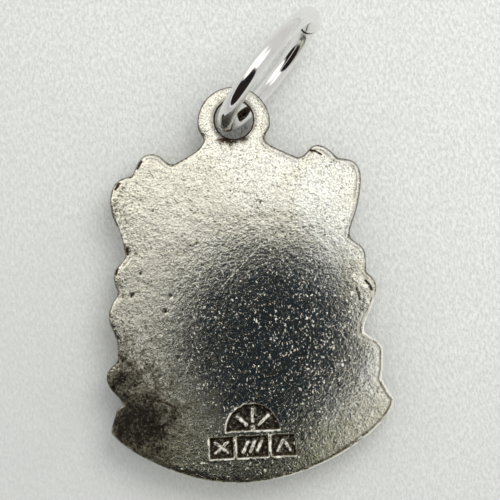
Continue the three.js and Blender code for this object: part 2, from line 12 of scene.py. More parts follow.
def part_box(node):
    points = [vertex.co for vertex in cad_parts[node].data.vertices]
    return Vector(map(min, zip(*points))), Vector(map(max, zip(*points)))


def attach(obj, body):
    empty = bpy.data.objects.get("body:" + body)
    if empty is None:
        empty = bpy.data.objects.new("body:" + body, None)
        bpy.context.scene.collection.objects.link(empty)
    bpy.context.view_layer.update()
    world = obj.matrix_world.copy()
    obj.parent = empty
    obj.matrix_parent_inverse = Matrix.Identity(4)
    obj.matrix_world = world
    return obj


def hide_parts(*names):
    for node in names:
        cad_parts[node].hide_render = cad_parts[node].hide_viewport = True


bl_info = {
    "name": "Cast crest charm",
    "version": (1, 0, 0),
    "blender": (4, 5, 0),
    "location": "3D View > Sidebar > Charm",
    "description": "Models a cast and enamelled crest charm and its carrying ring round a frame",
    "category": "Add Mesh",
}

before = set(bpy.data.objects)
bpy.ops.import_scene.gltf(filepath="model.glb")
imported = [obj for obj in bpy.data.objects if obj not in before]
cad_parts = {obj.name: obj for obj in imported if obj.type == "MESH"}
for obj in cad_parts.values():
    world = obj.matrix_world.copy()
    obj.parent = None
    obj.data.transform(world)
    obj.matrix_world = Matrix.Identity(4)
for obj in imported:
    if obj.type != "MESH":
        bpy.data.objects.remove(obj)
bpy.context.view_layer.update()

# Shapes are worked out in millimetres and scaled to metres once they are finished.
MM = 0.001

# Heights over the floor: the back, the front of the thin eye, the plate's face under the relief, the
# foot inside the plate that raised forms are carried down to, the shield's sunk tray and the lowest
# point of the ring.
BACK_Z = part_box("charm_body")[1].z / MM
EYE_THICKNESS = 0.85
EYE_FRONT_Z = BACK_Z - EYE_THICKNESS
FACE_Z = 1.1
FOOT_Z = 1.42
TRAY_Z = 0.75
RING_FOOT_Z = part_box("jump_ring")[0].z / MM

# The eye's outer circle and the angles at which it meets the plate's sides, the hole for the ring, and
# how far the thick part of the plate and the inner end of the neck stay away from it.
EYE = Vector((-0.02, 8.85))
EYE_RADIUS = 1.7
EYE_ENDS = (185, -10)
HOLE = Vector((0, 9.0))
HOLE_RADIUS = 0.88
HOLE_TO_THICK_PART = 0.67
NECK_RADIUS = 1.2

# Outline of the plate seen from the back. Each run goes from one notch or corner to the next.
LEFT_RUNS = [
    [(-1.61, 8.45), (-1.48, 8.18), (-1.62, 7.94), (-1.85, 7.72), (-2.4, 7.42), (-3.06, 7.13)],
    [
        (-3.06, 7.13), (-3.34, 7.38), (-3.62, 7.65), (-4.06, 7.75), (-4.42, 7.6), (-4.7, 7.23),
        (-4.93, 6.77),
    ],
    [
        (-4.93, 6.77), (-5.3, 6.75), (-5.67, 6.57), (-5.93, 6.2), (-6.06, 5.6), (-5.98, 4.9),
        (-5.7, 4.2), (-5.54, 3.07),
    ],
    [(-5.54, 3.07), (-5.8, 2.8), (-6.06, 2.55), (-6.19, 2.15), (-6.12, 1.72), (-6.0, 1.42)],
    [
        (-6.0, 1.42), (-6.26, 1.12), (-6.48, 0.7), (-6.57, 0.3), (-6.46, -0.2), (-6.28, -0.8),
        (-6.3, -1.73),
    ],
    [
        (-6.3, -1.73), (-6.6, -1.95), (-6.85, -2.25), (-6.89, -2.6), (-6.7, -3.05), (-6.4, -3.4),
        (-6.22, -3.78),
    ],
    [(-6.22, -3.78), (-6.52, -3.94), (-6.68, -4.35), (-6.93, -4.97)],
]
BOTTOM_RUN = [
    (-6.93, -4.97), (-6.3, -5.68), (-5.05, -6.54), (-3.5, -7.3), (-2, -7.71), (-0.4, -7.85),
    (1.5, -7.61), (3.2, -7.08), (4.6, -6.36), (5.6, -5.62), (6.15, -5.02), (6.37, -4.55),
]
RIGHT_RUNS = [
    [(6.37, -4.55), (6.16, -4.2), (6, -3.85), (5.83, -3.5)],
    [(5.83, -3.5), (5.96, -3), (6, -2.5), (6.01, -2.1), (5.8, -1.75), (5.45, -1.52), (5.17, -1.3)],
    [(5.17, -1.3), (5.29, -0.88), (5.56, -0.36), (5.82, 0.2), (5.96, 0.72), (5.86, 1.1), (5.53, 1.45)],
    [(5.53, 1.45), (5.57, 1.9), (5.57, 2.35), (5.42, 2.68), (5.18, 2.88), (4.88, 3.14)],
    [
        (4.88, 3.14), (5.02, 3.65), (5.31, 4.3), (5.5, 4.95), (5.66, 5.8), (5.58, 6.38), (5.26, 6.7),
        (4.63, 6.83),
    ],
    [(4.63, 6.83), (4.42, 7.13), (4.08, 7.42), (3.68, 7.54), (3.38, 7.38), (3.13, 7.12), (2.81, 7.01)],
    [(2.81, 7.01), (2.2, 7.35), (1.75, 7.6), (1.44, 7.82), (1.33, 8.02), (1.45, 8.25)],
]

# Points that the smooth outline gets for each given one.
OUTLINE_STEPS = 5

# The shield on the front. A wave has the height of its middle line and its width.
SHIELD_X = -0.25
SHIELD_HALF_WIDTH = 3.75
SHIELD_TOP = 5.75
SHIELD_SHOULDER = 1.2
SHIELD_TIP = -5.2
SHIELD_BELLY = 3.2
SHIELD_TIP_ROUND = 0.9
SHIELD_RIM = 0.5
WAVE_HEIGHT = 0.22
WAVE_LENGTH = 2.9
BROAD_WAVE = (0, 0.95)
THIN_WAVE = (-2.05, 0.36)
WAVE_INSET = 0.3
STUDS = [(-2.0, 3.9), (1.5, 3.9), (-0.25, 2.1)]
STUD_RADIUS = 0.46

# The ribbon under the shield: radii of its band, and its ends and the reach of its tails in degrees.
# Its sunk panel starts at an inset and is shorter than the band by an angle at each end.
RIBBON_CENTRE = (-0.458, 0.855)
RIBBON_OUTER = 8.45
RIBBON_INNER = 6.4
RIBBON_ENDS = (-127, -50)
PANEL_INSET = 0.17
PANEL_END_ANGLE = 0.6
TAIL_ANGLE = 10
TAIL_OVERLAP_ANGLE = 3
TAIL_NOTCH = 2.6
LOZENGES = 7
BAND_POINTS = 70
TAIL_POINTS = 14

# The battlemented wall over the shield.
CREST_X = -0.2
CREST_HALF_WIDTH = 1.75
CREST_FOOT = 5.9
CREST_WALL = 0.75
CREST_MERLON = 0.6
STONES_IN_ROW = 5
STONE_JOINT = 0.05

# How far the ring stands from the hole's middle, and how far its ends have slipped past each other.
RING_SHIFT_OUT = 0.09
RING_SHIFT_ASIDE = 0.12
SEAM_SLIP = 0.03

# Spacing of the enamel's points, how far it reaches into the metal, and what its front lies below.
ENAMEL_GRID = 0.07
ENAMEL_OVERLAP = 0.03
ENAMEL_FRONT_Z = 0.3

# Section of the eye as radius and height, with the widest rounding where the ring bears on it. Then the
# steps of the raised forms from the foot outwards: inset from the outline and height. The stud and the
# lozenge have a radius in place of the inset.
EYE_SECTION = [
    (HOLE_RADIUS, EYE_FRONT_Z + 0.28), (HOLE_RADIUS, BACK_Z - 0.1), (HOLE_RADIUS + 0.1, BACK_Z),
    (EYE_RADIUS - 0.03, BACK_Z), (EYE_RADIUS, BACK_Z - 0.06), (EYE_RADIUS, EYE_FRONT_Z + 0.06),
    (EYE_RADIUS - 0.06, EYE_FRONT_Z), (HOLE_RADIUS + 0.28, EYE_FRONT_Z),
]
BACK_LAYER_STEPS = [(0, BACK_Z), (0, EYE_FRONT_Z + 0.06), (0.06, EYE_FRONT_Z)]
FACE_LAYER_STEPS = [(0.02, EYE_FRONT_Z + 0.2), (0.02, EYE_FRONT_Z - 0.1), (0.12, FACE_Z)]
SHIELD_STEPS = [
    (0, FOOT_Z), (0, 0.16), (0.05, 0.05), (0.16, 0), (0.36, 0), (0.46, 0.06),
    (SHIELD_RIM, 0.16), (SHIELD_RIM, TRAY_Z),
]
STUD_STEPS = [(STUD_RADIUS, FOOT_Z), (STUD_RADIUS, 0.2), (0.42, 0.11), (0.33, 0.06), (0.2, 0.04)]
RIBBON_STEPS = [(0, FOOT_Z), (0, 0.1), (0.03, 0.03), (0.1, 0), (0.18, 0), (0.24, 0.05), (0.28, 0.28)]
LOZENGE_STEPS = [(0.46, FOOT_Z), (0.46, 0.24), (0.4, 0.14), (0.06, 0.02)]
TAIL_STEPS = [(0, FOOT_Z), (0, 0.58), (0.09, 0.5)]
WALL_STEPS = [(0, FOOT_Z), (0, 0.56)]
STONE_STEPS = [(0, FOOT_Z), (0, 0.52), (0.05, 0.46), (0.09, 0.45)]

# Leaves of the mantling: spine from the shield outwards, half width and rise.
LEAVES = [
    ([(-1.9, 6.3), (-3, 6.55), (-3.9, 7.05), (-4.35, 7.5)], 0.62, 0.7),
    ([(-3.2, 5.9), (-4.3, 6), (-5.1, 6.05), (-5.6, 6.5)], 0.6, 0.8),
    ([(-3.7, 3.6), (-4.7, 4.3), (-5.3, 4.9), (-5.85, 5.75)], 0.75, 0.75),
    ([(-3.8, 1.6), (-4.6, 2.5), (-5.3, 2.8), (-6.1, 2.4)], 0.68, 0.85),
    ([(-3.7, -0.7), (-4.6, 0.4), (-5.5, 0.9), (-6.4, 0.55)], 0.75, 0.8),
    ([(-3.4, -2.2), (-4.4, -0.9), (-5.3, -0.4), (-6.2, -0.5)], 0.6, 0.65),
    ([(-2.6, -3.1), (-4.1, -2.3), (-5.4, -1.9), (-6.7, -2.3)], 0.8, 0.85),
    ([(-2.2, -4.2), (-3.9, -3.6), (-5.3, -3), (-6.3, -3.2)], 0.55, 0.6),
    ([(1.5, 6.3), (2.5, 6.5), (3.4, 6.9), (3.85, 7.3)], 0.6, 0.7),
    ([(2.8, 5.9), (3.8, 6), (4.7, 6.05), (5.25, 6.45)], 0.6, 0.8),
    ([(3.2, 3.6), (4.2, 4.3), (4.9, 4.9), (5.4, 5.75)], 0.75, 0.75),
    ([(3.3, 1.6), (4.1, 2.5), (4.8, 2.75), (5.45, 2.35)], 0.66, 0.85),
    ([(3.2, -0.7), (4.1, 0.5), (4.9, 1), (5.8, 0.75)], 0.72, 0.8),
    ([(2.9, -2.2), (3.8, -1), (4.5, -0.4), (5.3, -0.35)], 0.58, 0.65),
    ([(2.1, -3.1), (3.5, -2.3), (4.7, -1.8), (5.9, -2.1)], 0.8, 0.85),
    ([(1.7, -4.2), (3.3, -3.5), (4.6, -2.9), (5.7, -3)], 0.52, 0.6),
]
LEAF_GRID = (34, 14)
LEAF_NICKS = 4.5
LEAF_VEINS = 7
# How a leaf widens and rises from its foot to its tip, and how high it stands from its middle vein out.
LEAF_WIDTH_SWELL = (0.22, 0.74, 0.8)
LEAF_RISE_SWELL = (0.3, 0.62, 0.6)
LEAF_RIDGE = ((0, 0.16, 0.4, 0.72, 0.92, 1), (0.62, 0.78, 1, 0.66, 0.24, 0.04))
LEAF_INSET = 0.16

# Struck places on the back: a tilted row of three squares (middle and width) under an arch, with plain
# bars and a pip standing in them.
STRUCK_TILT = -2
ROW = (-0.4, -6.16)
SQUARES = [(-1.435, 1.1), (0, 1.44), (1.445, 1.12)]
SQUARE_HEIGHT = 1.0
ARCH = (0.055, 0.74)
ARCH_RADIUS = 1.24
ARCH_LEFT = 0.5
STROKE = 0.085
PIP = 0.13
STRUCK_BARS = [
    ((-1.725, -0.24), (-1.145, 0.24)), ((-1.725, 0.24), (-1.145, -0.24)),
    ((-0.437, -0.24), (-0.207, 0.24)), ((-0.115, -0.24), (0.115, 0.24)),
    ((0.207, -0.24), (0.437, 0.24)),
    ((1.145, -0.24), (1.445, 0.24)), ((1.745, -0.24), (1.445, 0.24)),
    ((0.367, 1.021), (0.783, 1.396)), ((0.055, 1.16), (0.055, 1.72)),
    ((-0.257, 1.021), (-0.673, 1.396)),
]
STRUCK_PIPS = [(0.055, 0.88)]
STRUCK_BOX = (ROW[0], ROW[1] + 0.66, 2.25, 1.35)
BURR_REACH = 0.15

# Strip along the edges of the back that gets closer points, for the groove and the dirt in it.
RIM_WIDTH = 0.32
RIM_DEPTH = 0.25

# Flaws of the casting on the back: round pits as place, radius and depth, and scratches and cracks as a
# line, half width and depth.
PITS = [
    (-3.9, 0.4, 0.11, 0.05), (-3.6, 1.1, 0.09, 0.04), (-4.9, 2.25, 0.1, 0.04), (-5.4, 1.25, 0.12, 0.05),
    (-3.5, -1.8, 0.09, 0.04), (-2.2, 3.4, 0.06, 0.03), (0.9, 5.1, 0.07, 0.03), (2.6, -2.9, 0.06, 0.03),
    (5.28, 0.12, 0.07, 0.03), (5.42, -0.12, 0.06, 0.03),
    (-1.4, -3.2, 0.07, 0.03), (3.7, 3.3, 0.06, 0.025), (-4.4, -2.6, 0.08, 0.035),
    (1.9, 2.2, 0.05, 0.02),
]
SCRATCHES = [
    ((-4.76, -3.65), (-4.3, -3.8), 0.03, 0.01), ((-4.3, -3.8), (-3.81, -4.08), 0.038, 0.012),
    ((-4.62, 7.12), (-4.45, 7.4), 0.055, 0.03), ((-5.73, 6.24), (-5.55, 6.48), 0.055, 0.03),
    ((-5.43, 3.42), (-5.42, 3.2), 0.06, 0.03), ((-5.94, 2.6), (-6.04, 2.28), 0.045, 0.025),
    ((3.3, 7.31), (3.62, 7.24), 0.045, 0.02), ((3.62, 7.24), (3.9, 7.05), 0.04, 0.015),
    ((5.45, 1.05), (5.7, 0.62), 0.05, 0.04), ((5.0, 0.75), (5.12, 0.2), 0.035, 0.015),
]
# Pale hairlines and rubs on the back: start, end, half width and how strongly they show.
HAIRLINES = [
    ((1.2, 3.5), (-1.9, 0.7), 0.045, 0.6), ((0.5, 3.1), (-0.9, 1.75), 0.035, 0.4),
    ((4.75, 1.5), (5.65, 0.6), 0.17, 0.95), ((5.15, 0.5), (5.6, -0.1), 0.14, 0.7),
    ((-5.8, 5.2), (-5.38, 3.5), 0.15, 0.95),
]
# Brown stains on the back: strength, middle, and how far they spread across and along.
STAINS = [
    (0.42, (-5.4, -5.1), (1.7, 1.5)), (0.55, (-5.3, -4.2), (3.1, 2.8)),
    (0.36, (-6.2, -2.6), (1.1, 1.1)), (0.08, (-5.4, 5.6), (0.9, 1.2)),
]

# Soft-edged cards round the charm, which give the metal something to mirror: centre, radii, cover, the
# share of the radius where the soft edge starts, whether only steep rays meet the card, and its glow.
CARDS = [
    ("card_over_middle", (1.22, -1.15, 7.6), (5.75, 6.15), 0.995, 0.68, True, 0),
    ("card_over_lower_edge", (-0.6, -8.4, 12), (5.8, 3.2), 0.98, 0.6, True, 0),
    ("card_over_lower_part", (-6.2, -6.0, 19), (14.2, 14.4), 0.5, 0.75, True, 0),
    ("card_at_lower_left", (-36, -39, 53), (110, 61), 0.99, 0.85, False, 0),
    ("card_at_upper_left", (-39, 36, 53), (44, 46), 1.0, 0.6, False, 1.25),
]
STEEP_CARD_COLOUR = (0.008, 0.022, 0.04)
LOW_CARD_COLOUR = (0.02, 0.011, 0.01)
# Slants between which a louvred card goes from unseen to seen.
LOUVRE = (0.34, 0.15)

# The stage: a floor, a sky, a disk lamp and a camera over the middle of the view.
FLOOR_REACH = 400
FLOOR_DROP = 0.002
SKY_COLOUR = (1, 0.995, 0.975)
OVERHEAD_HEIGHTS = (0.9, 0.985)
HORIZON_HEIGHTS = (0.35, 0.05)
LAMP_PLACE = (32, 40, 85)
LAMP_WIDTH = 60
LAMP_COLOUR = (1, 0.985, 0.95)
VIEW_MIDDLE = (0.242, 2.917)
SENSOR_WIDTH = 36
CLIP_START = 1
CLIP_END = 10000


# Sizes and colours.


def size_setting(name, description, default, low=0.0):
    """A length that the user can change, with its default and lowest value given in millimetres."""
    return FloatProperty(
        name=name, description=description, default=default * MM, min=low * MM, unit="LENGTH",
        precision=6,
    )


def angle_setting(name, description, degrees):
    """An angle that the user can change."""
    return FloatProperty(
        name=name, description=description, default=math.radians(degrees), subtype="ANGLE",
    )


def colour_setting(name, description, default):
    """A colour that the user can change."""
    return FloatVectorProperty(
        name=name, description=description, default=default, subtype="COLOR", min=0, max=1,
    )


def light_setting(name, description, default, unit="NONE"):
    """The strength of a light that the user can change."""
    return FloatProperty(name=name, description=description, default=default, min=0, unit=unit)


class CastingSettings(bpy.types.PropertyGroup):
    """Sizes and colours of the cast body."""

    grid: size_setting("Grid", "Spacing of the points on the cast surface", 0.094, 0.05)
    edge_round: size_setting("Edge round", "How far in from the outline the rounding goes", 0.3, 0.05)
    unevenness: size_setting("Unevenness", "Depth of the broad hollows left by casting", 0.03)
    struck_depth: size_setting("Struck depth", "Depth of the struck places in the back", 0.19)
    silver: colour_setting("Silver", "Colour of the bare cast silver", (0.89, 0.88, 0.79))
    tarnish: colour_setting("Tarnish", "Colour of the heaviest tarnish", (0.018, 0.013, 0.008))
    # The grime colour also paints the shade along the outline and on the hole's wall.
    grime: colour_setting("Grime", "Colour of the dirt in the hollows", (0.04, 0.027, 0.016))


class RingSettings(bpy.types.PropertyGroup):
    """Sizes and colour of the carrying ring."""

    outer_radius: size_setting("Outer radius", "Radius of the ring to the outside of its wire", 3.52, 1)
    wire_radius: size_setting("Wire radius", "Radius of the round wire", 0.39, 0.1)
    azimuth: angle_setting("Azimuth", "Way the ring points, clockwise from the way of the eye", 43)
    lean: angle_setting("Lean", "How far the ring leans over to its side", 7)
    seam_angle: angle_setting("Seam angle", "Place of the seam in the plane of the ring", -27)
    seam_gap: size_setting("Seam gap", "Width of the gap where the ends of the wire meet", 0.06, 0.01)
    colour: colour_setting("Colour", "Colour of the polished wire", (0.86, 0.855, 0.84))


class EnamelSettings(bpy.types.PropertyGroup):
    """Colours and shape of the fired enamel."""

    crown: size_setting("Crown", "How far the enamel stands proud in the middle of a field", 0.05)
    blue: colour_setting("Blue", "Colour of the upper field", (0.012, 0.05, 0.3))
    green: colour_setting("Green", "Colour of the two lower fields", (0.01, 0.16, 0.085))


class StageSettings(bpy.types.PropertyGroup):
    """Floor, lights and camera."""

    floor: colour_setting("Floor", "Colour of the surface that the charm lies on", (0.82, 0.84, 0.83))
    sky: light_setting("Sky", "Strength of the light from overhead", 1.5)
    sky_side: light_setting("Sky side", "Strength of the light from half way up", 0.68)
    horizon: light_setting("Horizon", "What the light from low down adds to that from half way up", 0.1)
    window: light_setting("Window", "Power of the soft lamp at the upper right", 0.039, "POWER")
    camera_height: size_setting("Camera height", "Height of the camera over the back", 120, 10)
    view_width: size_setting("View width", "Width of the view at the charm's back", 23.148, 1)
    camera_turn: angle_setting("Camera turn", "Turn of the picture from the way of the eye", 4.8)


# Lines and solids.


def smooth_line(points, steps):
    """Points on a smooth line through the given ones, without the last."""
    p = [np.array(q, float) for q in points]
    made = []
    for i in range(len(p) - 1):
        a, b, c, d = p[max(i - 1, 0)], p[i], p[i + 1], p[min(i + 2, len(p) - 1)]
        for k in range(steps):
            t = k / steps
            bend = 2 * a - 5 * b + 4 * c - d + t * (3 * (b - c) + d - a)
            made.append(b + 0.5 * t * (c - a + t * bend))
    return made


def on_circle(centre, radius, degrees):
    """Point on a circle, at an angle anticlockwise from +X."""
    a = math.radians(degrees)
    return np.array((centre[0] + radius * math.cos(a), centre[1] + radius * math.sin(a)))


def plate_sides(steps):
    """The left side, the bottom and the right side of the outline."""
    left = [[on_circle(EYE, EYE_RADIUS, EYE_ENDS[0]), *LEFT_RUNS[0]], *LEFT_RUNS[1:]]
    right = [*RIGHT_RUNS[:-1], [*RIGHT_RUNS[-1], on_circle(EYE, EYE_RADIUS, EYE_ENDS[1])]]
    return (
        [q for run in left for q in smooth_line(run, steps)],
        smooth_line(BOTTOM_RUN, 3 * steps),
        [q for run in right for q in smooth_line(run, steps)],
    )


def offset(loop, distance):
    """A closed anticlockwise loop of points moved inwards by a distance."""
    p = np.array(loop)
    ahead = np.roll(p, -1, axis=0) - p
    ahead /= np.linalg.norm(ahead, axis=1)[:, None]
    way = ahead + np.roll(ahead, 1, axis=0)
    way /= np.linalg.norm(way, axis=1)[:, None]
    return p + distance * np.stack((-way[:, 1], way[:, 0]), axis=1)


def at_height(loop, z):
    """The flat loop lifted to a height."""
    return [(q[0], q[1], z) for q in loop]


def stepped(bm, loops):
    """A closed solid through loops that all have the same count of points, capped at both ends."""
    cap = bm.faces.new([bm.verts.new(p) for p in loops[0]])
    for loop in loops[1:]:
        order = {tuple(v.co): i for i, v in enumerate(cap.verts)}
        made = bmesh.ops.extrude_face_region(bm, geom=[cap, *cap.edges])["geom"]
        cap = next(g for g in made if isinstance(g, bmesh.types.BMFace))
        for v, p in [(v, loop[order[tuple(v.co)]]) for v in cap.verts]:
            v.co = p


def raised(bm, steps, loop_at):
    """A closed solid through steps, with the loop that a function gives for each inset or radius."""
    stepped(bm, [at_height(loop_at(inset), z) for inset, z in steps])


def rectangle(x0, y0, x1, y1, inset):
    """Anticlockwise loop round a rectangle, moved inwards by an inset."""
    x0, y0, x1, y1 = x0 + inset, y0 + inset, x1 - inset, y1 - inset
    return [(x0, y0), (x1, y0), (x1, y1), (x0, y1)]


def distance_to_line(x, y, start, end):
    """Distance of each place from the straight line between two points."""
    dx, dy = end[0] - start[0], end[1] - start[1]
    t = (((x - start[0]) * dx + (y - start[1]) * dy) / (dx * dx + dy * dy)).clip(0, 1)
    return np.hypot(x - start[0] - t * dx, y - start[1] - t * dy)


def distance_to_loop(points, loop):
    """Distance of each point from a closed loop, and the nearest point on the loop."""
    a = np.array(loop)
    b = np.roll(a, -1, axis=0)
    along = b - a
    length = (along**2).sum(1)
    best = np.full(len(points), 1e9)
    nearest = np.zeros((len(points), 2))
    chunk = 4000
    for start in range(0, len(points), chunk):
        part = points[start : start + chunk]
        rel = part[:, None, :] - a[None]
        t = np.clip((rel * along[None]).sum(2) / length[None], 0, 1)
        foot = a[None] + t[..., None] * along[None]
        d = np.linalg.norm(part[:, None, :] - foot, axis=2)
        k = d.argmin(1)
        rows = np.arange(len(part))
        best[start : start + chunk] = d[rows, k]
        nearest[start : start + chunk] = foot[rows, k]
    return best, nearest


def inside_loop(points, loop):
    """Which of the points lie inside a closed loop."""
    a = np.array(loop)
    b = np.roll(a, -1, axis=0)
    within = np.zeros(len(points), bool)
    for (x0, y0), (x1, y1) in zip(a, b):
        crosses = (y0 > points[:, 1]) != (y1 > points[:, 1])
        with np.errstate(divide="ignore", invalid="ignore"):
            x = x0 + (points[:, 1] - y0) * (x1 - x0) / (y1 - y0)
        within ^= crosses & (points[:, 0] < x)
    return within


def smoothstep(low, high, value):
    """Eases from 0 at the low value to 1 at the high one, which may be the smaller."""
    t = np.clip((value - low) / (high - low), 0, 1)
    return t * t * (3 - 2 * t)


# Pieces of the casting.


def cast_plate(bm):
    """The plate's thin back layer, which runs up into the neck, and its thicker face layer."""
    left, bottom, right = plate_sides(OUTLINE_STEPS)
    sides = [*left, *bottom, *right, on_circle(EYE, EYE_RADIUS, EYE_ENDS[1])]
    outline = [*sides, *[on_circle(HOLE, NECK_RADIUS, a) for a in range(-20, -161, -10)]]
    raised(bm, BACK_LAYER_STEPS, lambda inset: offset(outline, inset))
    reach = HOLE_RADIUS + HOLE_TO_THICK_PART
    dip = [on_circle(HOLE, reach, a) for a in range(-45, -136, -6)]
    under = [[q for q in side if q[1] < dip[0][1]] for side in (left, right)]
    face = [*under[0], *bottom, *under[1], *dip]
    raised(bm, FACE_LAYER_STEPS, lambda inset: offset(face, inset))
    return sides, face


def cast_eye(bm):
    """The eye: a rounded section spun round the hole, and then let out to the eye's own circle."""
    verts = [bm.verts.new((HOLE.x + r, HOLE.y, z)) for r, z in EYE_SECTION]
    edges = [bm.edges.new((verts[i], verts[(i + 1) % len(verts)])) for i in range(len(verts))]
    known = set(bm.verts) - set(verts)
    bmesh.ops.spin(
        bm, geom=verts + edges, cent=(HOLE.x, HOLE.y, 0), axis=(0, 0, 1), dvec=(0, 0, 0),
        angle=2 * math.pi, steps=96, use_merge=True, use_duplicate=False,
    )
    mid_wall = (HOLE_RADIUS + EYE_RADIUS) / 2 + 0.1
    margin, within_plate = 6, 0.8
    for v in set(bm.verts) - known:
        rel = v.co.xy - HOLE
        if rel.length > mid_wall:
            a = math.degrees(math.atan2(rel.y, rel.x)) % 360
            lower = EYE_ENDS[0] + margin < a < 360 + EYE_ENDS[1] - margin
            v.co.xy = EYE + rel * (within_plate if lower else 1)


def swell(t, start, reach, power):
    """Swells and falls along a leaf as a part of half a sine wave does."""
    return math.sin(math.pi * (start + reach * t)) ** power


def cast_leaf(bm, spine, half, rise, limit):
    """A leaf of the mantling: two ridges with a vein between, side veins and nicks in its edge."""
    line = np.array([*smooth_line(spine, 20), np.array(spine[-1], float)])
    tangent = np.gradient(line, axis=0)
    tangent /= np.linalg.norm(tangent, axis=1)[:, None]
    columns, rows = LEAF_GRID
    grid = bmesh.ops.create_grid(bm, x_segments=columns, y_segments=rows, size=1)["verts"]
    flat = []
    for v in grid:
        t, s = (v.co.x + 1) / 2, v.co.y
        k = t * (len(line) - 1)
        i = min(int(k), len(line) - 2)
        p = line[i] + (line[i + 1] - line[i]) * (k - i)
        d = tangent[i] + (tangent[i + 1] - tangent[i]) * (k - i)
        nick = 0.5 - 0.5 * math.cos(2 * math.pi * (LEAF_NICKS * t + 0.1))
        w = half * swell(t, *LEAF_WIDTH_SWELL) * (1 - 0.16 * nick * t)
        h = rise * swell(t, *LEAF_RISE_SWELL)
        ridge = np.interp(abs(s), *LEAF_RIDGE)
        vein = 0.07 * math.cos(2 * math.pi * (LEAF_VEINS * t - 1.4 * abs(s)))
        vein *= smoothstep(0.2, 0.5, abs(s))
        z = FACE_Z - h * (ridge + vein * (1 - abs(s)))
        flat.append((p[0] - d[1] * s * w, p[1] + d[0] * s * w, z))
    place(grid, flat, limit)
    sink(bm, grid)


def place(verts, points, limit):
    """Puts vertices at points, none of them outside the limit."""
    points = np.array(points)
    out = ~inside_loop(points[:, :2], limit)
    if out.any():
        points[out, :2] = distance_to_loop(points[out, :2], limit)[1]
    for v, p in zip(verts, points):
        v.co = p


def sink(bm, verts):
    """Closes an open sheet of relief by carrying its whole face down into the plate."""
    faces = list({f for v in verts for f in v.link_faces})
    made = bmesh.ops.extrude_face_region(bm, geom=faces, use_keep_orig=True)["geom"]
    for g in made:
        if isinstance(g, bmesh.types.BMVert):
            g.co.z = FOOT_Z


def shield_side(inset, count=40):
    """Right side of the shield from its tip up to its shoulder, as offsets from the middle line."""
    w = SHIELD_HALF_WIDTH - inset
    tip = SHIELD_TIP + 1.25 * inset
    a, b = (0, tip), (0.62 * w, tip + SHIELD_TIP_ROUND)
    c, d = (w, SHIELD_SHOULDER - SHIELD_BELLY), (w, SHIELD_SHOULDER)
    t = np.linspace(0, 1, count)[:, None]
    return (1 - t) ** 3 * a + 3 * t * (1 - t) ** 2 * b + 3 * t * t * (1 - t) * c + t**3 * d


def shield_loop(inset):
    """Outline of the shield, moved inwards by an inset."""
    side = shield_side(inset)
    top = SHIELD_TOP - inset
    w = SHIELD_HALF_WIDTH - inset
    right = [(SHIELD_X + x, y) for x, y in side]
    left = [(SHIELD_X - x, y) for x, y in side[:0:-1]]
    straight = [SHIELD_SHOULDER + (top - SHIELD_SHOULDER) * k / 8 for k in range(1, 9)]
    across = [SHIELD_X + w * (1 - k / 8) for k in range(1, 16)]
    return [
        *right, *[(SHIELD_X + w, y) for y in straight], *[(x, top) for x in across],
        *[(SHIELD_X - w, y) for y in reversed(straight)], *left,
    ]


def wave_y(x, middle):
    """Height of a wave's middle line."""
    return middle + WAVE_HEIGHT * math.sin(2 * math.pi * x / WAVE_LENGTH)


def shield_half_at(y, inset):
    """Half the width of the shield at a height."""
    side = shield_side(inset, 120)
    return float(np.interp(y, side[:, 1], side[:, 0]))


def cast_shield(bm):
    """The shield: a rim round a tray, with wave bars across the tray and studs standing in it."""
    raised(bm, SHIELD_STEPS, shield_loop)
    for middle, width in (BROAD_WAVE, THIN_WAVE):
        line = []
        count = 60
        for k in range(count + 1):
            x = SHIELD_X + (SHIELD_HALF_WIDTH - WAVE_INSET) * (2 * k / count - 1)
            reach = shield_half_at(wave_y(x, middle), WAVE_INSET)
            x = max(SHIELD_X - reach, min(SHIELD_X + reach, x))
            line.append((x, wave_y(x, middle)))
        half = width / 2
        edge = min(0.1, half / 2)
        raised(bm, [(0, FOOT_Z), (0, edge), (0.35 * edge, 0.3 * edge), (edge, 0)], lambda inset: [
            *[(x, y - half + inset) for x, y in line],
            *[(x, y + half - inset) for x, y in reversed(line)],
        ])
    for centre in STUDS:
        raised(bm, STUD_STEPS, lambda r: [on_circle(centre, r, a) for a in range(0, 360, 10)])


def band(inner, outer, start, end):
    """Loop round part of the ribbon's band."""
    angles = np.linspace(start, end, BAND_POINTS)
    return [
        *[on_circle(RIBBON_CENTRE, outer, a) for a in angles],
        *[on_circle(RIBBON_CENTRE, inner, a) for a in reversed(angles)],
    ]


